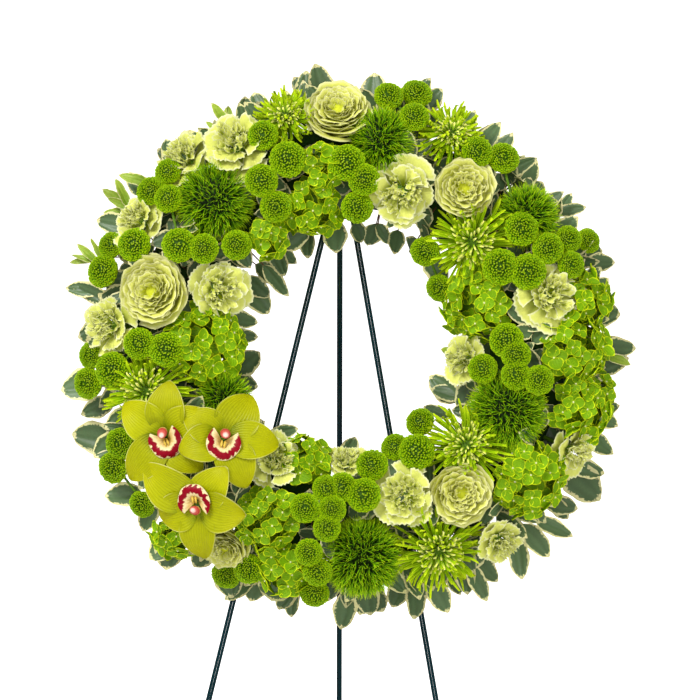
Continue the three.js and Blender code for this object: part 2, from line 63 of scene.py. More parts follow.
# ---- The ring's own frame: millimetres, x right, y up the slope, z out of the wreath's face ----
LEAN = math.radians(10)
FOAM_LOW, FOAM_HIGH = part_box("foam_ring")
RING_CENTRE = (FOAM_LOW + FOAM_HIGH) / 2
RING = Matrix.Translation(RING_CENTRE) @ Matrix.Rotation(math.pi / 2 - LEAN, 4, "X") @ Matrix.Scale(MM, 4)

TUBE_RADIUS = 181  # to the middle of the foam
REACH_HALF = 86  # half the width of the band of flowers
FLOWER_DEPTH = 80  # from the middle of the foam to the flowers' faces
SEAT_LIMIT = 0.93  # the band's outermost flowers turn no further than this share of its half width
STEM_END = 12  # a stem stops this far from the middle of the foam
ROOT_OVERLAP = 1.5  # a stalk starts this far inside its flower's underside
FLOWER_LEAN, BUTTON_LEAN = 0.8, 0.45  # how far a flower faces outwards; small springy heads face forward more

# ---- Where everything sits: clock degrees from the top, reach from the ring's centre, width ----
ROSES = [[357, 229, 66], [37, 189, 60], [284, 201, 70], [144, 188, 62], [211, 239, 48]]
CARNATIONS = [
    [19, 156, 66], [330, 229, 66], [318, 250, 56], [300, 247, 52], [291, 140, 56], [274, 243, 58],
    [77, 203, 62], [98, 116, 48], [161, 162, 56], [116, 251, 48], [143, 252, 50], [182, 120, 38],
]
TRICK_DIANTHUS = [[316, 195, 84], [9, 204, 70], [55, 217, 70], [114, 172, 84], [177, 216, 86]]
SPIDER_MUMS = [[344, 235, 68], [26, 231, 76], [51, 157, 96], [256, 209, 96], [132, 156, 90], [157, 227, 96]]
HYDRANGEAS = [
    [[344, 139, 62], [352, 178, 46], [321, 132, 44]],
    [[268, 145, 82]],
    [[74, 130, 74]],
    [[92, 225, 76], [80, 242, 58], [105, 243, 76]],
    [[128, 226, 78]],
    [[201, 127, 58]],
    [[205, 197, 66], [196, 238, 58]],
    [[222, 268, 50]],
]
# A spray's heads after the first also give the number of the head that their stalk springs from.
MUM_SPRAYS = [
    [[341, 190, 34], [331, 181, 31, 0], [331, 152, 30, 1], [337, 222, 29, 0], [359, 176, 34, 0], [5, 160, 30, 4],
     [3, 133, 30, 5]],
    [[308, 230, 27], [307, 251, 28, 0], [313, 250, 26, 1], [299, 194, 32, 0], [302, 171, 28, 3], [310, 147, 28, 4]],
    [[294, 236, 32], [292, 261, 26, 0], [286, 260, 32, 1]],
    [[263, 239, 34], [261, 268, 30, 0], [267, 262, 26, 0], [269, 209, 30, 0], [267, 182, 33, 3]],
    [[246, 252, 30], [242, 271, 30, 0], [232, 266, 26, 1]],
    [[9, 250, 28], [15, 261, 30, 0], [16, 233, 28, 0]],
    [[65, 217, 30], [57, 203, 32, 0], [71, 233, 26, 0], [65, 241, 26, 0], [67, 262, 24, 3], [69, 189, 34, 0],
     [64, 166, 34, 5], [40, 239, 30, 1], [34, 227, 30, 7], [59, 105, 26, 6], [40, 117, 28, 9]],
    [[102, 168, 28], [95, 165, 28, 0], [90, 155, 32, 1], [102, 135, 28, 0], [102, 191, 28, 0]],
    [[186, 168, 26], [189, 149, 26, 0], [183, 146, 28, 1], [175, 154, 32, 2], [170, 126, 30, 3], [157, 115, 26, 4],
     [149, 129, 34, 5], [139, 107, 27, 6], [195, 172, 28, 0], [187, 187, 26, 0], [191, 214, 26, 9],
     [188, 232, 28, 10], [188, 255, 28, 11], [204, 249, 30, 11], [208, 266, 28, 13]],
]
# Clock, reach, how proud it stands, the clock its lip points to, how far it is pushed to the right, up and out of
# its seat, and its tepals [clock, length, width].
ORCHIDS = [
    (222, 228, 12, 0, (3, 8, 3), [[44, 50, 36], [104, 50, 40], [180, 60, 36], [254, 46, 38], [308, 66, 44]]),
    (232, 158, 9, 192, (0, 0, 0), [[34, 52, 42], [98, 56, 36], [155, 54, 38], [252, 46, 36], [306, 46, 34]]),
    (243, 207, 1, 160, (3, 0, 0), [[3, 54, 38], [58, 48, 36], [132, 50, 36], [222, 60, 36], [303, 54, 38]]),
]
# Leaves are clock and reach of the tip, length, width, and turn away from straight out, in degrees.
LONG_LEAVES = {
    "foliage_outer_right": [
        [5, 281, 42, 30, -8], [17, 285, 38, 22, 18], [20, 276, 32, 22, 25], [29, 255, 26, 12, 27],
        [32, 262, 30, 22, -26], [38, 258, 24, 16, 10], [50, 260, 34, 24, -10], [56, 275, 30, 14, -20],
        [60, 278, 32, 14, 19], [64, 274, 28, 10, -17], [73, 284, 30, 20, 16], [84, 277, 34, 28, 10],
        [89, 277, 28, 16, -18], [91, 293, 36, 22, 1], [94, 287, 32, 12, 12], [98, 268, 28, 16, 40],
        [103, 283, 30, 16, -27], [113, 291, 42, 21, 12], [122, 303, 54, 38, 11], [129, 286, 30, 18, 13],
        [131, 300, 42, 18, -16], [137, 299, 44, 23, 4], [144, 298, 46, 23, 29], [152, 297, 42, 19, 1],
        [156, 282, 32, 18, -6], [160, 293, 42, 25, -8], [167, 288, 44, 26, 17], [171, 274, 34, 24, 30],
        [176, 279, 34, 28, -2],
    ],
    "foliage_outer_left": [
        [182, 293, 42, 25, 12], [192, 286, 36, 19, -14], [205, 286, 38, 32, -30], [206, 292, 36, 17, 31],
        [219, 298, 38, 31, -30], [238, 294, 38, 25, 28], [252, 300, 46, 34, 26], [261, 300, 46, 35, -1],
        [271, 277, 32, 26, -20], [282, 294, 46, 20, 11], [288, 301, 30, 7, 3], [292, 285, 24, 7, 40],
        [296, 290, 34, 24, -14], [301, 290, 26, 9, -6], [305, 292, 32, 11, 30], [309, 274, 26, 14, 30],
        [318, 282, 30, 20, 25], [323, 260, 26, 16, -30], [327, 273, 24, 8, -20], [332, 275, 28, 7, 25],
        [334, 262, 28, 16, -40], [339, 278, 34, 24, -1], [348, 280, 32, 20, -24], [353, 288, 44, 27, -8],
        [358, 264, 28, 22, 40],
    ],
    "foliage_inner_right": [
        [7, 105, 24, 18, 150], [20, 112, 24, 14, 130], [94, 93, 22, 12, -168], [112, 88, 42, 26, -159],
        [129, 108, 28, 14, 162], [177, 96, 28, 20, -154],
    ],
    "foliage_inner_left": [
        [212, 103, 33, 16, -135], [245, 106, 28, 20, -135], [264, 92, 34, 26, 150], [274, 94, 32, 16, 180],
        [291, 88, 34, 26, -155], [307, 79, 42, 16, -165], [326, 101, 30, 16, 160], [334, 100, 32, 20, -150],
        [351, 95, 34, 26, -173],
    ],
}

# Leaves of the same sprigs that show between the longer ones, and the young shoots at the left.
SHORT_LEAVES = {
    "foliage_outer_right": [
        [14, 279, 34, 22, -16], [44, 262, 30, 18, 4], [70, 279, 34, 22, 12], [76, 275, 30, 18, -24],
        [93, 285, 34, 20, -26], [107, 289, 38, 22, 10], [117, 293, 36, 20, -14], [126, 287, 36, 22, -24],
        [140, 288, 36, 20, -22], [148, 287, 38, 22, -14], [155, 283, 36, 22, 20], [173, 277, 34, 24, -22],
        [178, 278, 34, 24, 24],
    ],
    "foliage_outer_left": [
        [188, 272, 32, 22, 20], [195, 281, 34, 22, 14], [201, 284, 36, 26, -4], [215, 279, 34, 26, 4],
        [223, 300, 42, 31, 8], [228, 288, 34, 24, -24], [246, 287, 38, 24, -18], [255, 284, 36, 22, -10],
        [281, 298, 38, 18, -8], [286, 300, 30, 8, -26], [290, 297, 28, 9, 22], [298, 289, 28, 10, -28],
        [302, 300, 34, 12, 4], [306, 293, 34, 12, -22], [308, 290, 30, 16, 26], [315, 282, 32, 20, -12],
        [330, 284, 30, 11, -8], [333, 277, 26, 10, 24], [337, 276, 32, 20, 20], [351, 283, 36, 22, 14],
    ],
    "foliage_inner_right": [
        [12, 119, 30, 20, -170], [24, 117, 28, 18, 165], [32, 118, 28, 20, -165], [118, 106, 32, 20, 165],
    ],
    "foliage_inner_left": [
        [283, 99, 30, 18, 175], [300, 98, 32, 20, -170], [312, 99, 36, 22, 170], [318, 104, 32, 20, -160],
    ],
}

# Broad leaves pushed in flat under the flowers, where the ring would show: clock, reach, heading.
TUCKED_LEAVES = [
    [18, 224, 60], [100, 224, 80], [106, 223, 100], [115, 226, 90], [116, 232, 40], [146, 225, 80], [151, 250, 100],
    [267, 230, 80], [303, 222, 80], [305, 227, 120], [50, 115, 100], [92, 136, 80], [114, 130, 100], [162, 134, 90],
    [178, 139, 80], [332, 121, 90], [159, 250, 80], [149, 236, 60], [197, 261, 90], [20, 240, 100],
]

# Flowers tucked in behind the others.
HIDDEN_CARNATIONS = [[212, 141, 50]]
HIDDEN_TRICKS = [[245, 138, 60]]

# Cap height and depth of each kind of flower in units of its radius, its stem's radius and how proud it stands.
KINDS = {
    "rose": (0.55, 0.75, 2.4, 2), "carnation": (0.5, 0.95, 2, 1), "trick_dianthus": (0.72, 0.66, 2.2, 3),
    "spider_mum": (0.42, 0.36, 2.4, 2), "hydrangea": (0.5, 0.42, 3, 0), "button": (0.5, 0.5, 1.5, 3),
}
# Where the random numbers of each kind of thing start, so every run is alike.
SEEDS = {
    "rose": 100, "carnation": 200, "trick_dianthus": 300, "spider_mum": 400, "hydrangea": 500, "button": 600,
    "orchid": 700, "long_leaves": 800, "filling_leaves": 850, "ruff_leaves": 860, "short_leaves": 870,
}


def linear(code):
    """An sRGB hex colour such as 0x5c7a52 as linear red, green and blue."""
    shares = [(code >> shift & 255) / 255 for shift in (16, 8, 0)]
    return tuple(c / 12.92 if c <= 0.04045 else ((c + 0.055) / 1.055) ** 2.4 for c in shares)


# ---- Petals and pieces ----
ATTRIBUTES = ("along", "across", "shade")
PETAL_THICKNESS, TEPAL_THICKNESS, LIP_THICKNESS, LEAF_THICKNESS = 0.35, 0.9, 0.7, 0.5


def blade(along, across, form, thickness=PETAL_THICKNESS):
    """A thin closed petal or leaf. form(t, s) gives each point, t from foot to tip and s from edge to edge."""
    bm = bmesh.new()
    t_layer, s_layer, _ = (bm.verts.layers.float.new(name) for name in ATTRIBUTES)
    bmesh.ops.create_grid(bm, x_segments=across, y_segments=along, size=1)
    for v in bm.verts:
        t, s = (v.co.y + 1) / 2, v.co.x
        v[t_layer], v[s_layer] = t, s
        v.co = form(t, s)
    bmesh.ops.solidify(bm, geom=bm.faces[:], thickness=thickness)
    # A form whose edges run the other way round would leave its faces pointing inwards.
    if bm.calc_volume(signed=True) < 0:
        bmesh.ops.reverse_faces(bm, faces=bm.faces[:])
    return to_mesh(bm)


def long_edges(bm):
    """The edges of a cone or cylinder, 1 long, that run from its foot to its tip."""
    return [e for e in bm.edges if abs(e.verts[0].co.z - e.verts[1].co.z) > 0.5]


def to_mesh(bm):
    """The bmesh as a mesh of its own, which ends the bmesh."""
    mesh = bpy.data.meshes.new("petal")
    bm.to_mesh(mesh)
    bm.free()
    return mesh


class Bunch:
    """Petals, stems and beads gathered into one piece, in the ring's millimetres."""

    def __init__(self):
        self.bm = bmesh.new()
        for name in ATTRIBUTES:
            self.bm.verts.layers.float.new(name)

    def add(self, mesh, place, shade=0.5, material=0, keep=False):
        """Adds a mesh at a place, with one depth of colour. `keep` leaves the mesh itself for the next one."""
        copy = mesh.copy() if keep else mesh
        copy.transform(place)
        attribute = copy.attributes.get("shade") or copy.attributes.new("shade", "FLOAT", "POINT")
        attribute.data.foreach_set("value", [shade] * len(copy.vertices))
        copy.polygons.foreach_set("material_index", [material] * len(copy.polygons))
        self.bm.from_mesh(copy)
        bpy.data.meshes.remove(copy)

    def rod(self, a, b, radius, end_radius=None, sides=8, material=0):
        """A straight round rod from a to b, which may taper."""
        run = b - a
        place = Matrix.Translation((a + b) / 2) @ run.to_track_quat("Z", "Y").to_matrix().to_4x4()
        bm = bmesh.new()
        bmesh.ops.create_cone(
            bm, cap_ends=True, segments=sides, radius1=radius, radius2=radius if end_radius is None else end_radius,
            depth=run.length,
        )
        self.add(to_mesh(bm), place, material=material)

    def body(self, profile, place, size=1, steps=24, shade=0.5, material=0):
        """A turned body: profile points are (radius, height) from the underside's middle to the crown's."""
        bm = bmesh.new()
        line = [bm.verts.new((r * size, 0, z * size)) for r, z in profile]
        edges = [bm.edges.new(pair) for pair in zip(line, line[1:])]
        bmesh.ops.spin(bm, geom=line + edges, axis=(0, 0, 1), cent=(0, 0, 0), angle=TURN, steps=steps, use_merge=True)
        bmesh.ops.remove_doubles(bm, verts=bm.verts[:], dist=1e-4)
        bmesh.ops.recalc_face_normals(bm, faces=bm.faces[:])
        self.add(to_mesh(bm), place, shade, material)

    def piece(self, name, materials, slot, nodes, body=FRONT, sharp=50):
        """Makes the finished object, which stands for its CAD nodes and rides with their body."""
        mesh = bpy.data.meshes.new(name)
        self.bm.to_mesh(mesh)
        self.bm.free()
        mesh.transform(RING)
        for material in materials:
            mesh.materials.append(material)
        mesh.polygons.foreach_set("use_smooth", [True] * len(mesh.polygons))
        mesh.set_sharp_from_angle(angle=math.radians(sharp))
        piece = bpy.data.objects.new(name, mesh)
        bpy.context.scene.collection.objects.link(piece)
        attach(piece, body)
        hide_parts(*nodes)
        return piece


# ---- Places on the ring ----
def on_ring(clock, reach, z):
    """The point at this clock angle and reach, z above the middle of the foam."""
    angle = math.radians(clock)
    return Vector((reach * math.sin(angle), reach * math.cos(angle), z))


def seat(clock, reach, cap, proud, lean=FLOWER_LEAN):
    """The middle of a flower with this cap height, and the way it faces."""
    share = max(-SEAT_LIMIT, min(SEAT_LIMIT, (reach - TUBE_RADIUS) / REACH_HALF))
    around = math.asin(share)
    tilt = lean * around
    centre = on_ring(clock, reach, FLOWER_DEPTH * math.cos(around) - cap + proud)
    return centre, on_ring(clock, math.sin(tilt), math.cos(tilt))


def at_seat(centre, facing, spin=0):
    """The frame of a flower: +Z out of its face and +Y towards `spin` on the clock."""
    side = on_ring(spin, 1, 0).cross(facing).normalized()
    top = facing.cross(side)
    place = Matrix((side, top, facing)).transposed().to_4x4()
    place.translation = centre
    return place


def turned_seat(flower, kind):
    """Where a round flower sits: its radius, its frame and the underside where its stem starts."""
    clock, reach, width = flower[:3]
    cap, depth, _, proud = KINDS[kind]
    radius = width / 2
    centre, facing = seat(clock, reach, cap * radius, proud, BUTTON_LEAN if kind == "button" else FLOWER_LEAN)
    return radius, at_seat(centre, facing, clock), centre - facing * (depth * radius - ROOT_OVERLAP)


def facing_of(place):
    """The way a placed flower faces."""
    return place.to_3x3() @ Vector((0, 0, 1))


def stem(bunch, base, radius, material):
    """A stem from a flower's middle to a point inside the foam."""
    heart = on_ring(math.degrees(math.atan2(base.x, base.y)), TUBE_RADIUS, 0)
    bunch.rod(heart + (base - heart).normalized() * STEM_END, base, radius, material=material)


def dome_points(count, lowest, rng, jitter):
    """Unit directions spread evenly over a ball, from its pole down to the height `lowest`."""
    start = rng.uniform(0, TURN)
    for i in range(count):
        z = 1 - (1 - lowest) * (i + 0.5) / count + rng.uniform(-jitter, jitter)
        z = max(-1, min(1, z))
        ring = math.sqrt(1 - z * z)
        angle = start + i * GOLDEN + rng.uniform(-jitter, jitter)
        yield Vector((ring * math.cos(angle), ring * math.sin(angle), z))


def facing_frame(point, out, spin):
    """A frame at a point with +Z along `out`, turned by `spin` about it."""
    turn = out.to_track_quat("Z", "Y").to_matrix().to_4x4()
    return Matrix.Translation(point) @ turn @ Matrix.Rotation(spin, 4, "Z")


# ---- Finishes ----
def node(tree, kind, feeds=None, **settings):
    """Adds a node, sets its properties, and fills its inputs: a socket, or another node's first output, is linked,
    and anything else is a value."""
    made = tree.nodes.new(f"ShaderNode{kind}")
    for name, value in settings.items():
        setattr(made, name, value)
    for key, value in (feeds or {}).items():
        if isinstance(value, bpy.types.Node):
            value = value.outputs[0]
        if isinstance(value, bpy.types.NodeSocket):
            tree.links.new(value, made.inputs[key])
        else:
            made.inputs[key].default_value = value
    return made


def rgba(tint):
    """A colour for a socket, from its sRGB hex code or its linear red, green and blue."""
    return (*(linear(tint) if isinstance(tint, int) else tint), 1)


MIDDLE_TONE = 0.88  # brightness of the middling petal
BLOTCH_TINT, BLOTCH_BUMP = 0.24, 0.8  # how far blotches lighten a petal, and how high they stand beside its veins
RIM_FADE = 0.3  # share of a petal's length over which its rim comes in


def plant_finish(name, stops, rim, shader, edge=(0.75, 1.0), tip=1.0, rim_share=0.8, rim_from=-1.0, spread=0.15,
                 ragged=0.0, veins=9, vein_depth=0.12, vein_tint=0.0, mottle=2.0):
    """Living plant tissue, matte and a little translucent. The colour runs through `stops` from foot to tip and
    pales at the rim, each petal has its own depth of colour, and fine veins run lengthwise. `tip` is a petal's
    length over half its width, which keeps the rim equally wide all round. Lengths are mm."""
    material = bpy.data.materials.new(name)
    material.use_nodes = True
    tree = material.node_tree
    tree.nodes.clear()
    along, across, shade = (node(tree, "Attribute", attribute_name=layer).outputs["Fac"] for layer in ATTRIBUTES)
    place = node(tree, "TexCoord").outputs["Object"]
    blotch = node(tree, "TexNoise", {"Vector": place, "Scale": 1 / (mottle * MM), "Detail": 3.0})
    stray = node(tree, "Math", {0: blotch, 1: ragged, 2: -0.5 * ragged}, operation="MULTIPLY_ADD")
    grown = node(tree, "Math", {0: along, 1: stray})
    flesh = node(tree, "ValToRGB", {"Fac": grown})
    ramp = flesh.color_ramp
    ramp.interpolation = "EASE"
    while len(ramp.elements) < len(stops):
        ramp.elements.new(0.5)
    for element, (position, tint) in zip(ramp.elements, stops):
        element.position = position
        element.color = rgba(tint)
    side = node(tree, "Math", {0: across}, operation="ABSOLUTE")
    end = node(tree, "Math", {0: along, 1: tip, 2: 1 - tip}, operation="MULTIPLY_ADD")
    outer = node(tree, "Math", {0: side, 1: end}, operation="MAXIMUM")
    frayed = node(tree, "Math", {0: outer, 1: stray})
    rimmed = node(tree, "MapRange", {"Value": frayed, "From Min": edge[0], "From Max": edge[1], "To Max": rim_share},
                  interpolation_type="SMOOTHSTEP")
    upper = node(tree, "MapRange", {"Value": along, "From Min": rim_from, "From Max": rim_from + RIM_FADE})
    pale = node(tree, "Math", {0: rimmed, 1: upper}, operation="MULTIPLY")
    tinted = node(tree, "Mix", {0: pale, 6: flesh, 7: rgba(rim)}, data_type="RGBA")
    vein = node(tree, "Math", {0: across, 1: veins * math.pi}, operation="MULTIPLY")
    ridge = node(tree, "Math", {0: vein}, operation="SINE")
    depth = node(tree, "Math", {0: shade, 1: 2 * spread, 2: MIDDLE_TONE - spread}, operation="MULTIPLY_ADD")
    cloud = node(tree, "Math", {0: blotch, 1: BLOTCH_TINT, 2: depth}, operation="MULTIPLY_ADD")
    lined = node(tree, "Math", {0: ridge, 1: vein_tint, 2: cloud}, operation="MULTIPLY_ADD")
    coloured = node(tree, "HueSaturation", {"Color": tinted.outputs[2], "Value": lined})
    rough = node(tree, "Math", {0: blotch, 1: BLOTCH_BUMP, 2: ridge}, operation="MULTIPLY_ADD")
    bump = node(tree, "Bump", {"Height": rough, "Distance": vein_depth * MM, "Strength": 0.7})
    principled = node(tree, "BsdfPrincipled", {"Base Color": coloured, "Normal": bump, **shader})
    node(tree, "OutputMaterial", {"Surface": principled})
    return material


def plain_finish(name, tint, shader, **detail):
    """The same finish in one colour all over."""
    return plant_finish(name, [(0, tint), (1, tint)], tint, shader, **detail)


PETAL = {"Roughness": 0.65, "IOR": 1.4, "Subsurface Weight": 0.1, "Subsurface Scale": 0.001,
         "Subsurface Radius": (1.0, 1.0, 0.6), "Specular IOR Level": 0.08}
SEPAL = {"Roughness": 0.55, "IOR": 1.42, "Subsurface Weight": 0.15, "Subsurface Scale": 0.0015,
         "Subsurface Radius": (1.0, 1.0, 0.2), "Specular IOR Level": 0.18}


def stem_finish():
    """Cut flower stem: smooth, waxy mid-green skin."""
    return bpy.data.materials.get("flower_stem") or plain_finish("flower_stem", 0x567A14, SEPAL)


# ---- Settings ----
def colour(name, code, description):
    return FloatVectorProperty(name=name, description=description, subtype="COLOR", size=3, min=0, max=1,
                               default=linear(code))


def length(name, mm, description):
    return FloatProperty(name=name, description=description, unit="LENGTH", subtype="DISTANCE", min=0,
                         default=mm * MM)


class WreathFlowerSettings(bpy.types.PropertyGroup):
    rose_petal: colour("Rose petal", 0xD8DA6C, "Middle of a rose petal")
    # Painted glow: the heart colour is partly the rose's own yellow-green and partly the glow of light deep in the cup.
    rose_heart: colour("Rose heart", 0xCCD238, "Foot of a rose petal, deep in the cup")
    carnation_petal: colour("Carnation petal", 0xD6DA6E, "Middle of a carnation petal")
    trick_tip: colour("Bristle tip", 0xC6E016, "Tip of a green dianthus bristle")
    spider_ray: colour("Spider mum ray", 0x7AA204, "Middle of a spider mum's ray")
    hydrangea_sepal: colour("Hydrangea sepal", 0x6C9404, "Face of a hydrangea floret")
    button_petal: colour("Button mum petal", 0x80AA04, "Outer petals of a button mum")
    orchid_tepal: colour("Orchid tepal", 0xA0A400, "Sepals and petals of an orchid")
    orchid_lip: colour("Orchid lip band", 0x8A0018, "Margin of an orchid's lip")
    rose_ruffle: length("Rose ruffle", 1.9, "How far a rose petal's rim waves in and out")
    carnation_tooth: length("Carnation tooth", 2.2, "Depth of the teeth on a carnation petal")
    bristle: length("Bristle length", 14, "Length of a green dianthus bristle")
    floret: length("Floret width", 27, "Width of a hydrangea floret")


class WreathFoliageSettings(bpy.types.PropertyGroup):
    blade: colour("Leaf", 0x587048, "Green of a leaf's face")
    margin: colour("Leaf margin", 0xE6DFA0, "Cream edge of a leaf")
    twig: colour("Twig", 0x6B4A30, "Bark of the sprigs' twigs")


class WreathStandSettings(bpy.types.PropertyGroup):
    enamel: colour("Easel enamel", 0x04262C, "Paint on the easel's wire")
    tray: colour("Tray", 0x1E3A24, "Plastic of the ring's tray")
    foam: colour("Foam", 0x24420E, "Wet floral foam")
    wire: length("Wire diameter", 6, "Diameter of the easel's leg wire")


class WreathStageSettings(bpy.types.PropertyGroup):
    floor: colour("Floor", 0xF4F4F2, "Studio floor")
    distance: length("Camera distance", 2500, "From the camera to the face of the wreath")


# ---- Round flowers ----
def round_flowers(kind, flowers, materials, slot, head, foot=None, sunk=0.0, hidden=(), part="bloom"):
    """One piece for each flower of a kind: its head, the turned foot under it, and a stem that starts `sunk` radii
    below its middle. The hidden ones stand for no CAD node."""
    green = len(materials)
    for i, flower in enumerate([*flowers, *hidden]):
        rng = random.Random(SEEDS[kind] + i)
        bunch = Bunch()
        radius, place, _ = turned_seat(flower, kind)
        head(bunch, place, radius, rng)
        if foot:
            bunch.body(foot, place, radius, material=green)
        stem(bunch, place.translation - facing_of(place) * sunk * radius, KINDS[kind][2], green)
        name = f"{kind}_{i + 1}"
        bunch.piece(f"{name}_{part}", [*materials, stem_finish()], slot, [name] if i < len(flowers) else [])


def moved_out(out, toward):
    """Moves a fold out from its flower's middle in the direction `toward`."""
    return Matrix.Translation((out * math.cos(toward), out * math.sin(toward), 0))


# ---- Roses ----
# (reach and height of the rim, number of petals, height of the foot, outward roll), lengths in units of the radius.
ROSE_WHORLS = [
    (0.83, 0.26, 4, -0.68, 0.18), (0.82, 0.38, 4, -0.62, 0.13), (0.75, 0.43, 5, -0.40, 0.11),
    (0.66, 0.46, 5, -0.24, 0.10), (0.57, 0.49, 6, -0.10, 0.09), (0.48, 0.51, 6, 0.02, 0.08),
    (0.38, 0.53, 5, 0.10, 0.06),
]
ROSE_FOLDS = 30
# Turned bodies are (radius, height) from below, in units of the flower's radius.
ROSE_CORE = [(0, -0.1), (0.24, 0.0), (0.28, 0.1), (0.16, 0.22), (0, 0.25)]
ROSE_HIP = [(0, -0.75), (0.2, -0.73), (0.3, -0.62), (0.3, -0.5), (0.1, -0.4), (0, -0.4)]


def cupped(rng, middle, half, foot, rim, roll, ruffle, swirl=0.04):
    """A cupped petal that rises from its foot to a waved rim. foot and rim are (reach, height)."""
    phase, swell_phase, waves = rng.uniform(0, TURN), rng.uniform(0, TURN), rng.uniform(2.6, 4.2)

    def form(t, s):
        reach = foot[0] + (rim[0] - foot[0]) * (1 - (1 - t) ** 2.4)
        height = foot[1] + (rim[1] - foot[1]) * t ** 1.2
        height -= (rim[1] - foot[1]) * 0.25 * s ** 4 * t
        curl = max(0.0, t - 0.7) / 0.3
        swell = ruffle * t ** 2 * math.sin(0.8 * math.pi * s + swell_phase)
        wave = 0.55 * ruffle * t ** 6 * math.sin(waves * math.pi * s + phase)
        reach += roll * curl ** 2 + swell + wave + swirl * s * rim[0] * t
        height += 0.5 * swell + wave - 0.6 * roll * curl ** 3
        if t > 0.99:
            height += rng.uniform(-0.6, 0.6)
            reach += rng.uniform(-0.4, 0.4)
        angle = middle + half * s * (0.4 + 0.6 * math.sin(min(1, 1.2 * t) * math.pi / 2))
        return Vector((reach * math.cos(angle), reach * math.sin(angle), height))

    return form


def rose_head(bunch, place, radius, rng, ruffle):
    """The whorls of a rose, widest first, round its packed heart."""
    for reach, height, count, low, roll in ROSE_WHORLS:
        start = rng.uniform(0, TURN)
        for i in range(count):
            grown = rng.uniform(0.95, 1.03)
            form = cupped(
                rng, start + i * TURN / count + rng.uniform(-0.12, 0.12), 1.4 * math.pi / count,
                (0.12 * radius, low * radius), (reach * grown * radius, height * rng.uniform(0.84, 1.08) * radius),
                roll * radius * rng.uniform(0.5, 1.3), ruffle,
            )
            bunch.add(blade(6, 12, form), place, rng.random())
    # A turned core in the heart's yellow-green stands for the packed heart and paints a glow where the gaps between the
    # folds would show dark.
    bunch.body(ROSE_CORE, place, radius)
    # The heart is packed with small folds that open every way.
    for k in range(ROSE_FOLDS):
        out, toward = 0.33 * radius * math.sqrt((k + 0.3) / ROSE_FOLDS), k * GOLDEN + rng.uniform(-0.3, 0.3)
        reach = rng.uniform(0.09, 0.18)
        form = cupped(rng, toward + rng.uniform(-1.3, 1.3), rng.uniform(0.9, 1.5), (0.03 * radius, 0.12 * radius),
                      (reach * radius, (rng.uniform(0.48, 0.58) - 0.08 * out / radius) * radius), 0.04 * radius,
                      0.5 * ruffle)
        bunch.add(blade(4, 8, form), place @ moved_out(out, toward), rng.random())


class WREATH_OT_roses(bpy.types.Operator):
    """Makes the cupped garden roses"""

    bl_idname = "wreath.roses"
    bl_label = "Roses"

    def execute(self, context):
        settings = context.scene.wreath_flowers
        # Garden rose petal: velvety and a little translucent, yellow-green deep in the cup, partly its own colour and
        # partly painted glow, and each thin rim reads pale.
        petal = plant_finish("rose_petal_tissue", [(0.2, settings.rose_heart), (0.8, settings.rose_petal)],
                             0xE2E0A6, PETAL, edge=(0.82, 0.98), tip=1.6, spread=0.06, veins=13, vein_depth=0.05)
        head = partial(rose_head, ruffle=settings.rose_ruffle / MM)
        round_flowers("rose", ROSES, [petal], "rose_petal", head, ROSE_HIP, 0.3)
        return {"FINISHED"}


# ---- Carnations ----
# (reach and height of the rim, number of petals, ripple, columns in a petal), lengths in units of the radius.
CARNATION_WHORLS = [(1.24, -0.14, 5, 0.09, 20), (1.06, 0.04, 5, 0.12, 16), (0.82, 0.22, 6, 0.13, 14)]
CARNATION_FOLDS = 34
CARNATION_CALYX = [(0, -0.95), (0.24, -0.93), (0.28, -0.8), (0.3, -0.42), (0.1, -0.3), (0, -0.3)]


def fan(rng, middle, half, foot, rim, crumple, tooth, columns, pleats):
    """A fan-shaped petal on a narrow claw, rippled from side to side, with a toothed rim."""
    phase, waves = rng.uniform(0, TURN), rng.uniform(*pleats)
    teeth = [rng.uniform(0.1, 1) * tooth * (i % 2) for i in range(columns + 1)]

    def form(t, s):
        reach = foot[0] + (rim[0] - foot[0]) * t ** 1.1
        height = foot[1] + (rim[1] - foot[1]) * math.sin(t * math.pi / 2)
        ripple = crumple * t ** 1.6 * math.sin(waves * math.pi * s + phase + 0.8 * t)
        reach += 0.35 * ripple - 0.12 * rim[0] * s * s * t
        if t > 0.99:
            reach -= teeth[round((s + 1) / 2 * columns)]
        angle = middle + half * s * (0.15 + 0.85 * t ** 0.8)
        return Vector((reach * math.cos(angle), reach * math.sin(angle), height + ripple))

    return form


def carnation_head(bunch, place, radius, rng, tooth):
    """The flat outer whorls of a carnation and the tight folds that fill its middle."""
    for reach, height, count, crumple, columns in CARNATION_WHORLS:
        start = rng.uniform(0, TURN)
        for i in range(count):
            form = fan(
                rng, start + i * TURN / count + rng.uniform(-0.3, 0.3), rng.uniform(0.85, 1.3) * math.pi / count,
                (0.1 * radius, -0.45 * radius),
                (reach * rng.uniform(0.76, 1.1) * radius, (height + rng.uniform(-0.08, 0.14)) * radius),
                crumple * radius * rng.uniform(0.6, 1.3), tooth, columns, (0.8, 2.2),
            )
            bunch.add(blade(5, columns, form), place, rng.random())
    for k in range(CARNATION_FOLDS):
        out, toward = 0.5 * radius * math.sqrt((k + 0.1) / CARNATION_FOLDS), k * GOLDEN + rng.uniform(-0.4, 0.4)
        form = fan(rng, rng.uniform(0, TURN), rng.uniform(0.7, 1.3), (0.03 * radius, 0.0),
                   (rng.uniform(0.16, 0.28) * radius, (rng.uniform(0.4, 0.56) - 0.24 * out / radius) * radius),
                   0.09 * radius, tooth, 10, (1.8, 3.2))
        bunch.add(blade(3, 10, form), place @ moved_out(out, toward), rng.random())


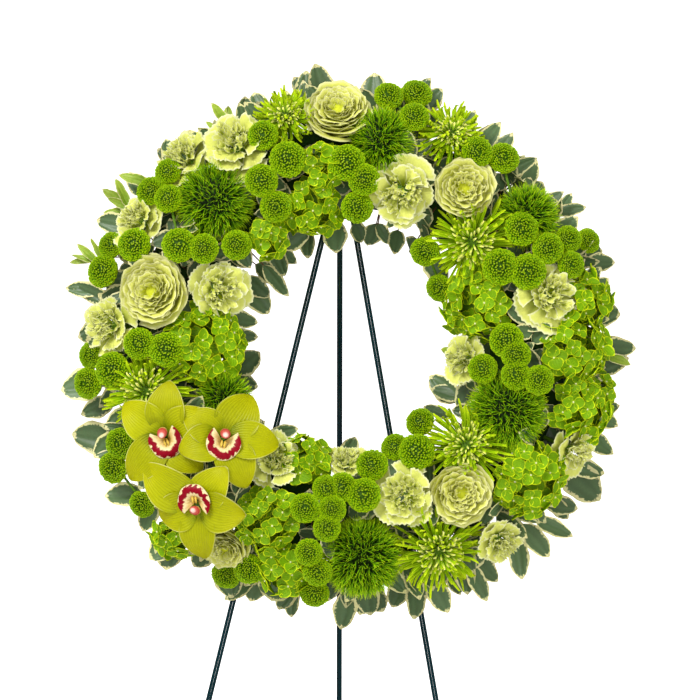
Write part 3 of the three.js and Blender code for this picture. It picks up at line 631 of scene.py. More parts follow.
class WREATH_OT_carnations(bpy.types.Operator):
    """Makes the ivory carnations"""

    bl_idname = "wreath.carnations"
    bl_label = "Carnations"

    def execute(self, context):
        settings = context.scene.wreath_flowers
        # Carnation petal: thin, matte and crumpled, ivory at the toothed rim and green deep in the folds.
        stops = [(0.2, 0x96A808), (0.75, settings.carnation_petal)]
        petal = plant_finish("carnation_petal_tissue", stops, 0xE2E2B6, PETAL, edge=(0.84, 0.98), tip=1.5, spread=0.08,
                             veins=17, vein_depth=0.06)
        head = partial(carnation_head, tooth=settings.carnation_tooth / MM)
        round_flowers("carnation", CARNATIONS, [petal], "carnation_petal", head, CARNATION_CALYX, 0.5,
                      HIDDEN_CARNATIONS)
        return {"FINISHED"}


# ---- Green dianthus balls ----
DIANTHUS_CORE = [(0, -0.5), (0.5, -0.36), (0.66, 0.05), (0.5, 0.36), (0, 0.46)]
BRISTLES_FOR_SIZE = 1.25  # a ball has this many bristles for each square millimetre of its radius squared
BRISTLE_FOOT, BRISTLE_TIP, BRISTLE_BEND = 0.75, 0.12, 2.2


class WREATH_OT_dianthus(bpy.types.Operator):
    """Makes the bristly green dianthus balls"""

    bl_idname = "wreath.dianthus"
    bl_label = "Green dianthus"

    def execute(self, context):
        settings = context.scene.wreath_flowers
        # Dianthus bract: a stiff green thread, lime at its point; the almost black-green at its foot is painted shade
        # deep in the ball.
        stops = [(0, 0x1C3604), (0.3, 0x4A7A06), (0.7, 0x84B806), (1, settings.trick_tip)]
        bract = plant_finish("dianthus_bract_tissue", stops, settings.trick_tip, SEPAL, rim_share=0.0, spread=0.35,
                             vein_depth=0.02)
        reach = settings.bristle / MM
        head = partial(self.ball, bristle=self.bristle(reach), reach=reach)
        round_flowers("trick_dianthus", TRICK_DIANTHUS, [bract], "trick_bristle", head, hidden=HIDDEN_TRICKS,
                      part="ball")
        return {"FINISHED"}

    def ball(self, bunch, place, radius, rng, bristle, reach):
        """A ball of bristles that stand out all round its core, each leaning its own way."""
        # The core takes the bracts' darkest, almost black green: painted shade deep among the bristles.
        bunch.body(DIANTHUS_CORE, place, radius, shade=0)
        for out in dome_points(round(BRISTLES_FOR_SIZE * radius ** 2), -0.72, rng, 0.03):
            deep = rng.uniform(0.82, 1.0)
            foot = Vector((out.x, out.y, out.z * (0.72 if out.z > 0 else 0.66))) * (radius - deep * reach)
            lean = Vector((rng.gauss(0, 0.3), rng.gauss(0, 0.3), rng.gauss(0, 0.3)))
            heading = facing_frame(foot, (out + lean).normalized(), rng.uniform(0, TURN))
            size = Matrix.Scale(rng.uniform(0.7, 1.05), 4)
            bunch.add(bristle, place @ heading @ size, rng.random(), keep=True)

    def bristle(self, reach):
        """One bract: a three-sided thread that bends and comes to a point."""
        bm = bmesh.new()
        t_layer = bm.verts.layers.float.new("along")
        bmesh.ops.create_cone(bm, cap_ends=True, segments=3, radius1=BRISTLE_FOOT, radius2=BRISTLE_TIP, depth=1)
        bmesh.ops.subdivide_edges(bm, edges=long_edges(bm), cuts=1)
        for v in bm.verts:
            t = v.co.z + 0.5
            v[t_layer] = t
            v.co = Vector((v.co.x + BRISTLE_BEND * t * t, v.co.y, reach * t))
        return to_mesh(bm)


# ---- Spider mums ----
# Number of rays, their length in radii, and the way they leave the heart, in degrees above flat.
SPIDER_WHORLS = [(26, 1.08, -14), (28, 1.05, 2), (28, 0.96, 16), (26, 0.84, 30), (24, 0.68, 45), (22, 0.52, 62)]
SPIDER_HEART = 84
SPIDER_CUP = [(0, -0.36), (0.2, -0.34), (0.3, -0.1), (0.16, 0.05), (0, 0.08)]
RAY_STEPS, RAY_WIDTH, YOUNG_RAY_WIDTH, YOUNG_RAY_THICKNESS = 8, 2.6, 1.9, 0.45


def ray(reach, width, rise, hook, rng):
    """A long channelled ray floret that arches out and hooks up at its tip."""
    bend = rng.gauss(0, 0.16)
    path = [(0.0, 0.0)]
    for i in range(RAY_STEPS):
        t = (i + 0.5) / RAY_STEPS
        angle = rise - 0.55 * t + hook * max(0.0, (t - 0.62) / 0.38) ** 1.5
        step = reach / RAY_STEPS
        path.append((path[-1][0] + step * math.cos(angle), path[-1][1] + step * math.sin(angle)))

    def form(t, s):
        out, lift = path[round(t * RAY_STEPS)]
        broad = width / 2 * min(1, 0.5 + 1.2 * t) * (1 if t < 0.9 else 0.55)
        return Vector((broad * s + bend * reach * t * t, out, lift + 0.9 * broad * s * s))

    return form


def spider_head(bunch, place, radius, rng):
    """The whorls of long rays, flat ones first, and the young rays that crowd the heart."""
    for count, share, rise in SPIDER_WHORLS:
        start = rng.uniform(0, TURN)
        for i in range(count):
            up = math.radians(rise + rng.uniform(-8, 8))
            form = ray(radius * share * rng.uniform(0.82, 1.06) * 0.96, RAY_WIDTH, up, rng.uniform(0.4, 3.2), rng)
            turn = Matrix.Rotation(start + (i + rng.uniform(-0.4, 0.4)) * TURN / count, 4, "Z")
            out = Matrix.Translation((0, 0.08 * radius, 0))
            bunch.add(blade(RAY_STEPS, 2, form), place @ turn @ out, rng.random())
    for k in range(SPIDER_HEART):
        share = math.sqrt((k + 0.5) / SPIDER_HEART)
        form = ray(rng.uniform(0.2, 0.34) * radius, YOUNG_RAY_WIDTH, math.radians(88 - 40 * share), -0.9, rng)
        turn = Matrix.Rotation(k * GOLDEN, 4, "Z") @ Matrix.Translation((0, 0.3 * radius * share, 0.06 * radius))
        bunch.add(blade(RAY_STEPS, 2, form, YOUNG_RAY_THICKNESS), place @ turn, rng.random(), 1)


class WREATH_OT_spider_mums(bpy.types.Operator):
    """Makes the spider chrysanthemums"""

    bl_idname = "wreath.spider_mums"
    bl_label = "Spider mums"

    def execute(self, context):
        settings = context.scene.wreath_flowers
        # Ray floret: a juicy quill with a channel, green in the middle and lighter along its edges and hooked tip; the
        # dark green at its foot, under the crowded heart, is painted shade.
        stops = [(0, 0x264A02), (0.45, settings.spider_ray), (1, 0xA8C80C)]
        rays = plant_finish("spider_ray_tissue", stops, 0xCCDC24, PETAL, edge=(0.7, 1.0), rim_share=0.7, spread=0.22,
                            veins=2, vein_depth=0.1)
        # Young florets in the heart are pale and creamy at their tips.
        stops = [(0, 0x3E6A04), (0.5, 0x92BC06), (0.85, 0xE8EA70)]
        heart = plant_finish("spider_heart_tissue", stops, 0xF0F0A0, PETAL, edge=(0.85, 1.0), spread=0.1, veins=2)
        round_flowers("spider_mum", SPIDER_MUMS, [rays, heart], "spider_petal", spider_head, SPIDER_CUP)
        return {"FINISHED"}


# ---- Hydrangeas ----
HYDRANGEA_CORE = [(0, -0.36), (0.4, -0.3), (0.55, -0.1), (0.4, 0.1), (0, 0.18)]
# Each lobe's two layers of florets, the hidden one first: how far it is sunk in floret widths, the square millimetres
# of the lobe's radius squared to a floret, and its tone, which is lower for the hidden layer as painted shade.
FLORET_LAYERS = ((0.36, 60, 0.0), (0.0, 64, 0.4))
FEWEST_FLORETS, BEAD_RADIUS, BEAD_HEIGHT = 6, 1.1, 1.3
BRANCH_SHARE = 0.7  # of the stem's radius
FACE, BEAD, HYDRANGEA_GREEN = range(3)  # order of the heads' materials


def sepal(reach, width, cup, rng):
    """A broad rounded sepal with a soft fold down its middle."""
    twist, wave = rng.uniform(-0.2, 0.2), rng.uniform(0, TURN)

    def form(t, s):
        broad = width / 2 * max(0.12, math.sin(math.pi * t ** 0.75) ** 0.65)
        out = reach * t
        lift = cup * t * t * reach + 0.3 * broad * s * s + 0.5 * t * math.sin(2.5 * s + wave)
        return Vector((broad * s, out, lift + twist * broad * s * t))

    return form


def bead(radius):
    """A small round bead."""
    bm = bmesh.new()
    bmesh.ops.create_icosphere(bm, subdivisions=1, radius=radius)
    return to_mesh(bm)


class WREATH_OT_hydrangeas(bpy.types.Operator):
    """Makes the lime hydrangea heads, floret by floret"""

    bl_idname = "wreath.hydrangeas"
    bl_label = "Hydrangeas"

    def execute(self, context):
        settings = context.scene.wreath_flowers
        # Hydrangea sepal: leathery and lime green, with a thin yellow-green edge and radiating veins.
        stops = [(0, 0x9CB81C), (0.25, settings.hydrangea_sepal), (1, settings.hydrangea_sepal)]
        face = plant_finish("hydrangea_sepal_tissue", stops, 0xCEDC12, SEPAL, edge=(0.8, 0.96), tip=1.7,
                            rim_share=0.85, spread=0.36, veins=6, vein_depth=0.16, vein_tint=0.05)
        # Unopened floret bead: tiny, pale and waxy.
        eye = plain_finish("hydrangea_bead_tissue", 0xE2E6A8, SEPAL)
        wide, thick = settings.floret / MM, KINDS["hydrangea"][2]
        for i, lobes in enumerate(HYDRANGEAS):
            rng = random.Random(SEEDS["hydrangea"] + i)
            bunch = Bunch()
            centre = None
            for lobe in lobes:
                radius, place, base = turned_seat(lobe, "hydrangea")
                if centre is None:
                    centre, root = place.translation, base
                else:
                    bunch.rod(root, base, thick * BRANCH_SHARE, material=HYDRANGEA_GREEN)
                self.lobe(bunch, place, radius, wide, rng)
            stem(bunch, centre, thick, HYDRANGEA_GREEN)
            name = f"hydrangea_{i + 1}"
            bunch.piece(f"{name}_head", [face, eye, stem_finish()], "hydrangea_floret", [name])
        return {"FINISHED"}

    def lobe(self, bunch, place, radius, wide, rng):
        """One domed lobe: a stem-green core, darkened as painted shade, under two layers of florets."""
        bunch.body(HYDRANGEA_CORE, place, radius, shade=0, material=HYDRANGEA_GREEN)
        for sunk, room, tone in FLORET_LAYERS:
            count = max(FEWEST_FLORETS, round(radius ** 2 / room))
            for out in dome_points(count, 0.0, rng, 0.08):
                flat = Vector((out.x, out.y, out.z * 0.5))
                lean = Vector((rng.gauss(0, 0.28), rng.gauss(0, 0.28), 0))
                normal = (Vector((out.x * 0.7, out.y * 0.7, out.z + 0.2)) + lean).normalized()
                foot = flat * (radius - 0.12 * wide) - normal * (sunk + rng.uniform(0.0, 0.14)) * wide
                heading = facing_frame(foot, normal, rng.uniform(0, TURN))
                self.floret(bunch, place @ heading, wide / 2 * rng.uniform(0.74, 1.04), tone, rng)

    def floret(self, bunch, place, size, tone, rng):
        """Four sepals and, where they show, the bead between them."""
        # The sunk layer's florets start from a lower tone: painted shade.
        tint = tone + 0.45 * rng.random()
        cup = rng.uniform(0.0, 0.36)
        shown = tone > 0
        for quarter in range(4):
            form = sepal(size * rng.uniform(0.92, 1.04), size * rng.uniform(1.0, 1.16),
                         cup + rng.uniform(-0.08, 0.1), rng)
            lift = Matrix.Translation((0, 0, 0.7 * (quarter % 2)))
            turn = Matrix.Rotation(quarter * TURN / 4 + rng.uniform(-0.14, 0.14), 4, "Z")
            petal = blade(5, 4, form) if shown else blade(3, 2, form)
            bunch.add(petal, place @ lift @ turn, tint + 0.15 * rng.random(), FACE)
        if shown:
            bunch.add(bead(BEAD_RADIUS), place @ Matrix.Translation((0, 0, BEAD_HEIGHT)), 0.6, BEAD)


# ---- Button mums ----
BUTTON_DOME = [(0, -0.42), (0.5, -0.34), (0.84, -0.1), (0.8, 0.1), (0.5, 0.3), (0, 0.38)]
BUTTON_SCALES = 280
SCALE_FOOT, SCALE_TIP = 0.5, 0.36
BRANCH_RADIUS = 1.3
BUTTON_GREEN = 1  # the stalks' place among the sprays' materials


class WREATH_OT_button_mums(bpy.types.Operator):
    """Makes the sprays of button chrysanthemums"""

    bl_idname = "wreath.button_mums"
    bl_label = "Button mums"

    def execute(self, context):
        settings = context.scene.wreath_flowers
        # Button mum petal: a short fleshy scale, deep green in the heart of the button and lime at its rim; each scale
        # is darkest at its foot, painted shade between the scales.
        stops = [(0, 0x3E6806), (0.5, 0x669404), (1, settings.button_petal)]
        petal = plant_finish("button_petal_tissue", stops, 0xBCD00A, SEPAL, edge=(0.8, 1.0), rim_share=0.45,
                             spread=0.3, veins=2, vein_depth=0.03)
        scale = self.scale()
        for i, heads in enumerate(MUM_SPRAYS):
            rng = random.Random(SEEDS["button"] + i)
            bunch = Bunch()
            bases = []
            for head in heads:
                radius, place, base = turned_seat(head, "button")
                if bases:
                    bunch.rod(bases[head[3]], base, BRANCH_RADIUS, material=BUTTON_GREEN)
                else:
                    stem(bunch, place.translation, KINDS["button"][2], BUTTON_GREEN)
                bases.append(base)
                self.head(bunch, place, radius, scale, rng)
            name = f"button_mum_spray_{i + 1}"
            bunch.piece(f"{name}_buttons", [petal, stem_finish()], "button_petal", [name])
        return {"FINISHED"}

    def scale(self):
        """One petal scale, 1 mm long before it is sized: a blunt three-sided pad that grows along +Z."""
        bm = bmesh.new()
        t_layer = bm.verts.layers.float.new("along")
        bmesh.ops.create_cone(bm, cap_ends=True, segments=3, radius1=SCALE_FOOT, radius2=SCALE_TIP, depth=1)
        for v in bm.verts:
            t = v.co.z + 0.5
            v[t_layer] = t
            v.co.z = t
        return to_mesh(bm)

    def head(self, bunch, place, radius, scale, rng):
        """One button: a dome set with petal scales, which grow towards its rim."""
        # The dome takes the darkest green of a scale's foot: painted shade between the scales.
        bunch.body(BUTTON_DOME, place, radius, steps=12, shade=0)
        for out in dome_points(BUTTON_SCALES, -0.42, rng, 0.03):
            foot = Vector((out.x * 0.82, out.y * 0.82, out.z * 0.38)) * radius
            lean = Vector((rng.gauss(0, 0.12), rng.gauss(0, 0.12), rng.gauss(0, 0.08)))
            normal = (Vector((out.x * 1.1, out.y * 1.1, out.z + 0.1)) + lean).normalized()
            share = 1 - max(0, out.z)
            grown = radius * (0.12 + 0.14 * share) * rng.uniform(0.85, 1.15)
            size = Matrix.Diagonal((radius * (0.2 + 0.08 * share), radius * 0.16, grown, 1))
            tint = 0.15 + 0.6 * share + rng.uniform(-0.25, 0.25)
            bunch.add(scale, place @ facing_frame(foot, normal, rng.uniform(-0.5, 0.5)) @ size, tint, keep=True)


# ---- Orchids ----
def tepal(reach, width, rng):
    """A broad waxy tepal with a keel, arching forward and then back at its tip."""
    wave, bend = rng.uniform(0, TURN), rng.uniform(-0.05, 0.05)

    def form(t, s):
        swell = math.sin(math.pi * min(1, t ** 0.86)) ** 0.62
        broad = width / 2 * max(0.07, 0.24 * (1 - t) ** 2 + swell)
        out = 3 + (reach - 3) * t
        lift = 0.14 * reach * math.sin(math.pi * t * 0.9) - 0.1 * reach * t ** 3
        lift += 0.16 * broad * s * s + 0.9 * t * math.sin(4 * s + wave) * abs(s) - 0.35 * (1 - abs(s)) ** 3
        return Vector((broad * s + bend * reach * t, out, lift))

    return form


LIP_REACH, LIP_THROAT = 19, 1.5
LIP_HALF = math.radians(132)
LIP_COLUMNS = 28
COLUMN_WIDTH, COLUMN_HEIGHT = 5.6, 15
ORCHID_STEM = 2.2
TEPAL_SKIN, LIP_SKIN, COLUMN_SKIN, ORCHID_GREEN = range(4)  # order of the blooms' materials


class WREATH_OT_orchids(bpy.types.Operator):
    """Makes the three cymbidium orchids"""

    bl_idname = "wreath.orchids"
    bl_label = "Orchids"

    def execute(self, context):
        settings = context.scene.wreath_flowers
        # Cymbidium tepal: thick and waxy, olive-lime with close lengthwise veins, a soft gloss and a pale edge; the
        # darker olive at its foot is painted shade in the flower's middle.
        waxy = {**PETAL, "Roughness": 0.4, "Specular IOR Level": 0.2}
        stops = [(0, 0x748202), (0.35, settings.orchid_tepal), (1, 0xB0B000)]
        skin = plant_finish("cymbidium_tepal_tissue", stops, 0xD4D280, waxy, edge=(0.94, 1.0), tip=2.8,
                            rim_share=0.8, rim_from=0.3, spread=0.1, veins=15, vein_depth=0.2, vein_tint=0.045,
                            mottle=6)
        cream, crimson = 0xE6D6A0, settings.orchid_lip
        # Its lip is cream with a crimson band, and streaks of the one run into the other.
        stops = [(0, 0xB8902C), (0.25, 0xDCC078), (0.5, cream), (0.6, crimson), (0.93, crimson), (0.98, cream)]
        lip = plant_finish("cymbidium_lip_tissue", stops, cream, waxy, rim_share=0.0, spread=0.05, ragged=0.2, veins=11,
                           mottle=1.6)
        # Its column is waxy yellow below and rose red above, with a painted highlight that pales the top of its cap.
        stops = [(0, 0xD8B84C), (0.5, 0xD8B860), (0.7, 0xB43A34), (0.9, 0xC8584C), (1, 0xF0D0C0)]
        column = plant_finish("cymbidium_column_tissue", stops, cream, waxy, rim_share=0.0, spread=0.05, veins=3)
        for i, (clock, reach, proud, points_to, pushed, tepals) in enumerate(ORCHIDS):
            rng = random.Random(SEEDS["orchid"] + i)
            bunch = Bunch()
            centre, facing = seat(clock, reach, 0, proud)
            centre += Vector(pushed)
            place = at_seat(centre, facing)
            for k, (turn, long, wide) in enumerate(tepals):
                heading = Matrix.Translation((0, 0, 1.2 * (k % 2))) @ Matrix.Rotation(-math.radians(turn), 4, "Z")
                petal = blade(14, 8, tepal(long, wide, rng), TEPAL_THICKNESS)
                bunch.add(petal, place @ heading, rng.random(), TEPAL_SKIN)
            mouth = at_seat(centre, facing, points_to)
            bunch.add(self.lip(rng), mouth, 0.5, LIP_SKIN)
            self.column(bunch, mouth)
            stem(bunch, centre, ORCHID_STEM, ORCHID_GREEN)
            name = f"orchid_{i + 1}"
            bunch.piece(f"{name}_bloom", [skin, lip, column, stem_finish()], "orchid_petal", [name])
        return {"FINISHED"}

    def lip(self, rng):
        """The lip: a bowl open towards the column, with cream side lobes and a ruffled, blotched tongue."""
        phase = rng.uniform(0, TURN)
        streaks = [rng.uniform(0.02, 0.2) * rng.choice((-1, -0.3, 0.6, 1)) for _ in range(LIP_COLUMNS + 1)]

        def form(t, s):
            around = LIP_HALF * s
            tongue = math.cos(around / 2) ** 4
            reach = LIP_THROAT + (LIP_REACH - LIP_THROAT) * t * (0.84 + 0.18 * tongue)
            ruffle = 0.9 * t ** 3 * math.sin(11 * s + phase)
            height = 2 + 10 * math.sin(t * (1.5 + 0.9 * tongue)) - 1.5 * t + ruffle
            return Vector(((reach + ruffle * 0.4) * math.sin(around), 4 + reach * math.cos(around), height))

        mesh = blade(9, LIP_COLUMNS, form, LIP_THICKNESS)
        along, across = (mesh.attributes[name].data for name in ATTRIBUTES[:2])
        for grown, aside in zip(along, across):
            column = round((aside.value + 1) / 2 * LIP_COLUMNS)
            if 0 < grown.value < 0.99:
                grown.value = max(0, grown.value + streaks[column] * grown.value)
            grown.value *= 1 - 0.5 * max(0, (abs(aside.value) - 0.66) / 0.34)
        return mesh

    def column(self, bunch, mouth):
        """The arched column with its rounded cap, and the two crests on the lip below it."""
        bm = bmesh.new()
        t_layer = bm.verts.layers.float.new("along")
        bmesh.ops.create_uvsphere(bm, u_segments=16, v_segments=14, radius=1)
        for v in bm.verts:
            t = (v.co.z + 1) / 2
            v[t_layer] = t
            broad = COLUMN_WIDTH * (0.75 + 0.35 * t)
            v.co = Vector((v.co.x * broad, v.co.y * broad * 0.95 - 5 + 4 * t * t, 1 + COLUMN_HEIGHT * t))
        bunch.add(to_mesh(bm), mouth, 0.5, COLUMN_SKIN)
        for side in (-1, 1):
            crest = bead(1)
            crest.transform(Matrix.Diagonal((1.3, 4.6, 1.4, 1)))
            bunch.add(crest, mouth @ Matrix.Translation((1.6 * side, 7, 8.5)), 0.6, COLUMN_SKIN)


# ---- Foliage ----
TWIG_REACH = {"outer": 227, "inner": 126}  # from the ring's centre to the circle that a sprig's leaves spring from
LEAF_PLANE, LEAF_LAYER, LEAF_LIFT = -8, 1.1, 10  # height of the leaves' roots, of a layer, and of its tips
YOUNG_WIDTH = 12  # the narrowest leaves are the young ones
LEAF_SKIN, BARK, YOUNG_SKIN = range(3)  # order of the sprigs' materials
STALK = {"radius": 0.9, "sides": 6, "material": BARK}
STALK_TIP, STALK_START = 0.7, 18
LONG_CUTS, SHORT_CUTS = (9, 6), (6, 4)
OUT_OF_FACE = Vector((0, 0, 1))
TUCKED_LENGTH, TUCKED_WIDTH, TUCKED_HEIGHT, TUCKED_RISE = 36, 25, 8, 0.05
# Filling leaves start at rings this far out and this far apart on them, and face outwards within these limits.
FILL_REACHES, FILL_SPACING, FILL_TILT = (116, 132, 148, 165, 181, 197, 213, 229, 242, 253, 264), 11, (-0.9, 0.96)
RUFF_LEAVES, RUFF_START, RUFF_REACH = 104, 206, 226


def leaf_form(reach, width, rng):
    """An oval leaf folded a little along its midrib, with a waved edge and a tip that dips."""
    wave, curl = rng.uniform(0, TURN), rng.uniform(-0.05, 0.14)

    def form(t, s):
        oval = width / 2 * max(0.07, math.sin(math.pi * t ** 0.86) ** 0.6)
        broad = oval * (1 + 0.06 * math.sin(14 * t + wave + 2 * s))
        lift = 0.2 * broad * abs(s) + 1.1 * s * math.sin(6 * t + wave) - curl * reach * t * t
        return Vector((broad * s, reach * t, lift))

    return form


class WREATH_OT_foliage(bpy.types.Operator):
    """Makes the sprigs of variegated leaves round the ring and between the flowers"""

    bl_idname = "wreath.foliage"
    bl_label = "Foliage"

    def execute(self, context):
        settings = context.scene.wreath_foliage
        # Variegated leaf: leathery grey-green with a satin cuticle, a ragged cream margin and a pale midrib.
        cuticle = {"Roughness": 0.4, "IOR": 1.45, "Specular IOR Level": 0.45, "Subsurface Weight": 0.05,
                   "Subsurface Scale": 0.001}
        grey_green = [(0, settings.blade), (1, settings.blade)]
        ragged = {"ragged": 0.5, "veins": 3, "mottle": 2.6}
        skin = plant_finish("variegated_leaf_skin", grey_green, settings.margin, cuticle, edge=(0.75, 0.83), tip=2.4,
                            rim_share=0.95, spread=0.22, vein_depth=0.3, vein_tint=0.06, **ragged)
        # Young shoot leaf: thin, soft and yellow-green, with only a trace of the cream margin.
        young = plant_finish("young_leaf_skin", [(0, 0x7A9C1E), (1, 0xA0B83C)], settings.margin, cuticle,
                             edge=(0.82, 0.9), tip=2.6, rim_share=0.85, spread=0.2, vein_depth=0.2, **ragged)
        # Young woody twig: matte red-brown bark.
        bark = plain_finish("twig_bark", settings.twig, {"Roughness": 0.8, "IOR": 1.4}, spread=0.1, mottle=3)
        bunches = {name: Bunch() for name in LONG_LEAVES}
        for i, (name, leaves) in enumerate(LONG_LEAVES.items()):
            rng = random.Random(SEEDS["long_leaves"] + i)
            for k, leaf in enumerate(leaves):
                self.leaf(bunches, name, leaf, k % 3 - 1, rng)
        rng = random.Random(SEEDS["short_leaves"])
        for name, leaves in SHORT_LEAVES.items():
            for k, leaf in enumerate(leaves):
                self.leaf(bunches, name, leaf, (k + 1) % 3 - 1.5, rng)
        for clock, reach, heading in TUCKED_LEAVES:
            run = on_ring(clock + heading, 1, TUCKED_RISE)
            foot = on_ring(clock, reach, TUCKED_HEIGHT) - run * (TUCKED_LENGTH / 2)
            bunch = self.sprig(bunches, clock, reach)
            bunch.rod(on_ring(clock, TUBE_RADIUS, 0), foot, **STALK)
            self.blade(bunch, foot, run, OUT_OF_FACE, TUCKED_LENGTH, TUCKED_WIDTH, rng)
        self.fill(bunches, random.Random(SEEDS["filling_leaves"]))
        self.back(bunches, random.Random(SEEDS["ruff_leaves"]))
        for name, bunch in bunches.items():
            bunch.piece(f"{name}_sprigs", [skin, bark, young], "leaf", [name])
        return {"FINISHED"}

    def sprig(self, bunches, clock, reach):
        """The sprigs that a leaf at this place belongs to."""
        side, hand = "outer" if reach > TUBE_RADIUS else "inner", "right" if clock % 360 < 180 else "left"
        return bunches[f"foliage_{side}_{hand}"]

    def leaf(self, bunches, name, leaf, layer, rng):
        """A leaf given by its tip, on a stalk that leaves the circle of the sprig's twig."""
        clock, reach, long, wide, turn = leaf
        twig = TWIG_REACH[name.split("_")[1]]
        root = LEAF_PLANE + layer * LEAF_LAYER
        tip = on_ring(clock, reach, root + layer * LEAF_LIFT)
        flat = on_ring(clock + turn, 1, 0)
        along, apart = tip.dot(flat), reach * math.sin(math.radians(turn))
        back = math.sqrt(twig ** 2 - apart ** 2)
        heel = tip - flat * (along - back if reach > twig else along + back)
        heel.z = root
        run = tip - heel
        stalk = heel + run.normalized() * max(0, run.length - long)
        heart = on_ring(math.degrees(math.atan2(heel.x, heel.y)), TUBE_RADIUS, 0)
        start = heel + (heart - heel).normalized() * STALK_START
        bunches[name].rod(start, stalk + run.normalized(), end_radius=STALK_TIP, **STALK)
        self.blade(bunches[name], stalk, run, OUT_OF_FACE, long, wide, rng, LONG_CUTS)

    def blade(self, bunch, foot, run, face, long, wide, rng, cuts=SHORT_CUTS):
        """The leaf itself, from its foot along `run`, with its upper side towards `face`."""
        across = run.cross(face).normalized()
        heading = run.normalized()
        place = Matrix((across, heading, across.cross(heading))).transposed().to_4x4()
        place.translation = foot
        roll = Matrix.Rotation(rng.gauss(0, 0.25), 4, "Y")
        material = YOUNG_SKIN if wide <= YOUNG_WIDTH else LEAF_SKIN
        bunch.add(blade(*cuts, leaf_form(long, wide, rng), LEAF_THICKNESS), place @ roll, rng.random(), material)

    def fill(self, bunches, rng):
        """Leaves tucked in wherever the flowers leave a gap, each on a stalk pushed into the foam."""
        heads = [*ROSES, *CARNATIONS, *TRICK_DIANTHUS, *HIDDEN_CARNATIONS, *HIDDEN_TRICKS]
        heads += [head for group in (*HYDRANGEAS, *MUM_SPRAYS) for head in group]
        middles, airy = ([(on_ring(head[0], head[1], 0), head[2] / 2) for head in group]
                         for group in (heads, SPIDER_MUMS))
        for reach in FILL_REACHES:
            turns = round(TURN * reach / FILL_SPACING)
            for k in range(turns):
                clock = (k + rng.uniform(-0.3, 0.3)) * 360 / turns
                out = reach + rng.uniform(-5, 5)
                spot = on_ring(clock, out, 0)
                if any((spot - middle).length < radius - 3 for middle, radius in middles):
                    continue
                around = math.asin(max(FILL_TILT[0], min(FILL_TILT[1], (out - TUBE_RADIUS) / REACH_HALF)))
                face = on_ring(clock, math.sin(around), math.cos(around))
                low = any((spot - middle).length < radius for middle, radius in airy)
                raised = rng.uniform(0.3, 0.4) if low else rng.uniform(0.5, 0.7)
                foot = on_ring(clock, TUBE_RADIUS, 0) + face * raised * FLOWER_DEPTH
                sideways = face.cross(on_ring(clock + rng.uniform(0, 360), 1, 0)).normalized()
                run = sideways + face * rng.uniform(0.1, 0.2 if low else 0.7)
                bunch = self.sprig(bunches, clock, out)
                bunch.rod(on_ring(clock, TUBE_RADIUS, 0) + face * STEM_END, foot, **STALK)
                self.blade(bunch, foot, run, face, rng.uniform(24, 34), rng.uniform(13, 20), rng)

    def back(self, bunches, rng):
        """A ruff of leaves behind the outer flowers."""
        for k in range(RUFF_LEAVES):
            clock = (k + rng.uniform(-0.4, 0.4)) * 360 / RUFF_LEAVES
            foot = on_ring(clock, RUFF_REACH, rng.uniform(-6, 24))
            run = on_ring(clock + rng.uniform(-40, 40), 1, rng.uniform(0.0, 0.35))
            bunch = self.sprig(bunches, clock, RUFF_REACH)
            bunch.rod(on_ring(clock, RUFF_START, 0), foot, **STALK)
            self.blade(bunch, foot, run, OUT_OF_FACE, rng.uniform(34, 46), rng.uniform(16, 24), rng)


# ---- Foam ring and tray ----
# Both profiles are turned round the ring's centre. Two moulded grooves stiffen the tray's back.
FOAM_PROFILE = [
    (154, -25), (208, -25), (216, -22), (219.5, -15), (219.5, 15), (216, 22), (208, 25), (154, 25), (146, 22),
    (142.5, 15), (142.5, -15), (146, -22), (154, -25),
]
TRAY_GROOVES = [
    (reach + step, -26.8 + deep) for reach in (160, 198) for step, deep in ((0, 0), (0.8, 0.8), (3.2, 0.8), (4, 0))
]
TRAY_PROFILE = [
    (142, -26.8), *TRAY_GROOVES, (220, -26.8), (221.3, -25.5), (221.3, -14), (219.8, -14), (219.8, -25.3),
    (142.2, -25.3), (142.2, -14), (140.7, -14), (140.7, -25.5), (142, -26.8),
]


class WREATH_OT_ring(bpy.types.Operator):
    """Makes the foam ring and its plastic tray"""

    bl_idname = "wreath.ring"
    bl_label = "Foam ring"

    def execute(self, context):
        settings = context.scene.wreath_stand
        # Wet floral foam: crumbly, open-celled and dark green with water.
        foam = plain_finish("wet_floral_foam", settings.foam, {"Roughness": 0.95, "IOR": 1.33}, spread=0.05, veins=0,
                            vein_depth=0.4, mottle=1.2)
        # Injection-moulded polypropylene: smooth, dark green and slightly glossy.
        plastic = plain_finish("moulded_polypropylene", settings.tray, {"Roughness": 0.4, "IOR": 1.49}, spread=0.0,
                               veins=0, vein_depth=0.03, mottle=3)
        for name, profile, material, slot in (
            ("foam_ring", FOAM_PROFILE, foam, "wet_foam"), ("ring_tray", TRAY_PROFILE, plastic, "tray_plastic"),
        ):
            bunch = Bunch()
            bunch.body(profile, Matrix(), steps=96)
            bunch.piece(f"{name}_turned", [material], slot, [name], sharp=30)
        return {"FINISHED"}


# ---- Easel ----
# The front legs spread from a point where they would meet, and their tops stop a little short of it.
APEX_X, APEX_Y, LEG_TOP_Y, LEG_APART, LEG_PLANE = -8, 187, 174, 1.3, -30.1
FRONT_LEGS = (("front_left_leg", -1, 0.2457), ("front_right_leg", 1, 0.1716))  # name, side, how fast it spreads
FOOT_RUN = 1300  # the legs are drawn this long and cut off at the floor
PIVOT_Y, PIVOT_Z, PIVOT_HALF = 150, -36.4, 22  # the bar that the back leg's eye turns on
BACK_LEG_X, BACK_LEG_DRIFT, BACK_LEG_LEAN, BACK_LEG_START = -10.5, 0.003, math.radians(18), 6.8
EYE_RADIUS, EYE_WIRE = 5.8, 2.5
CROSS_BAR_Y, CROSS_BAR_RISE, CROSS_BAR_PAST = 131.5, 6.3, 4
WIRE_SIDES = 24
HOOK_Y, HOOK_WIRE, HOOK_REACH, HOOK_STEPS = 136.6, 2.5, 32, 48
HOOK_START = LEG_PLANE + 9.6
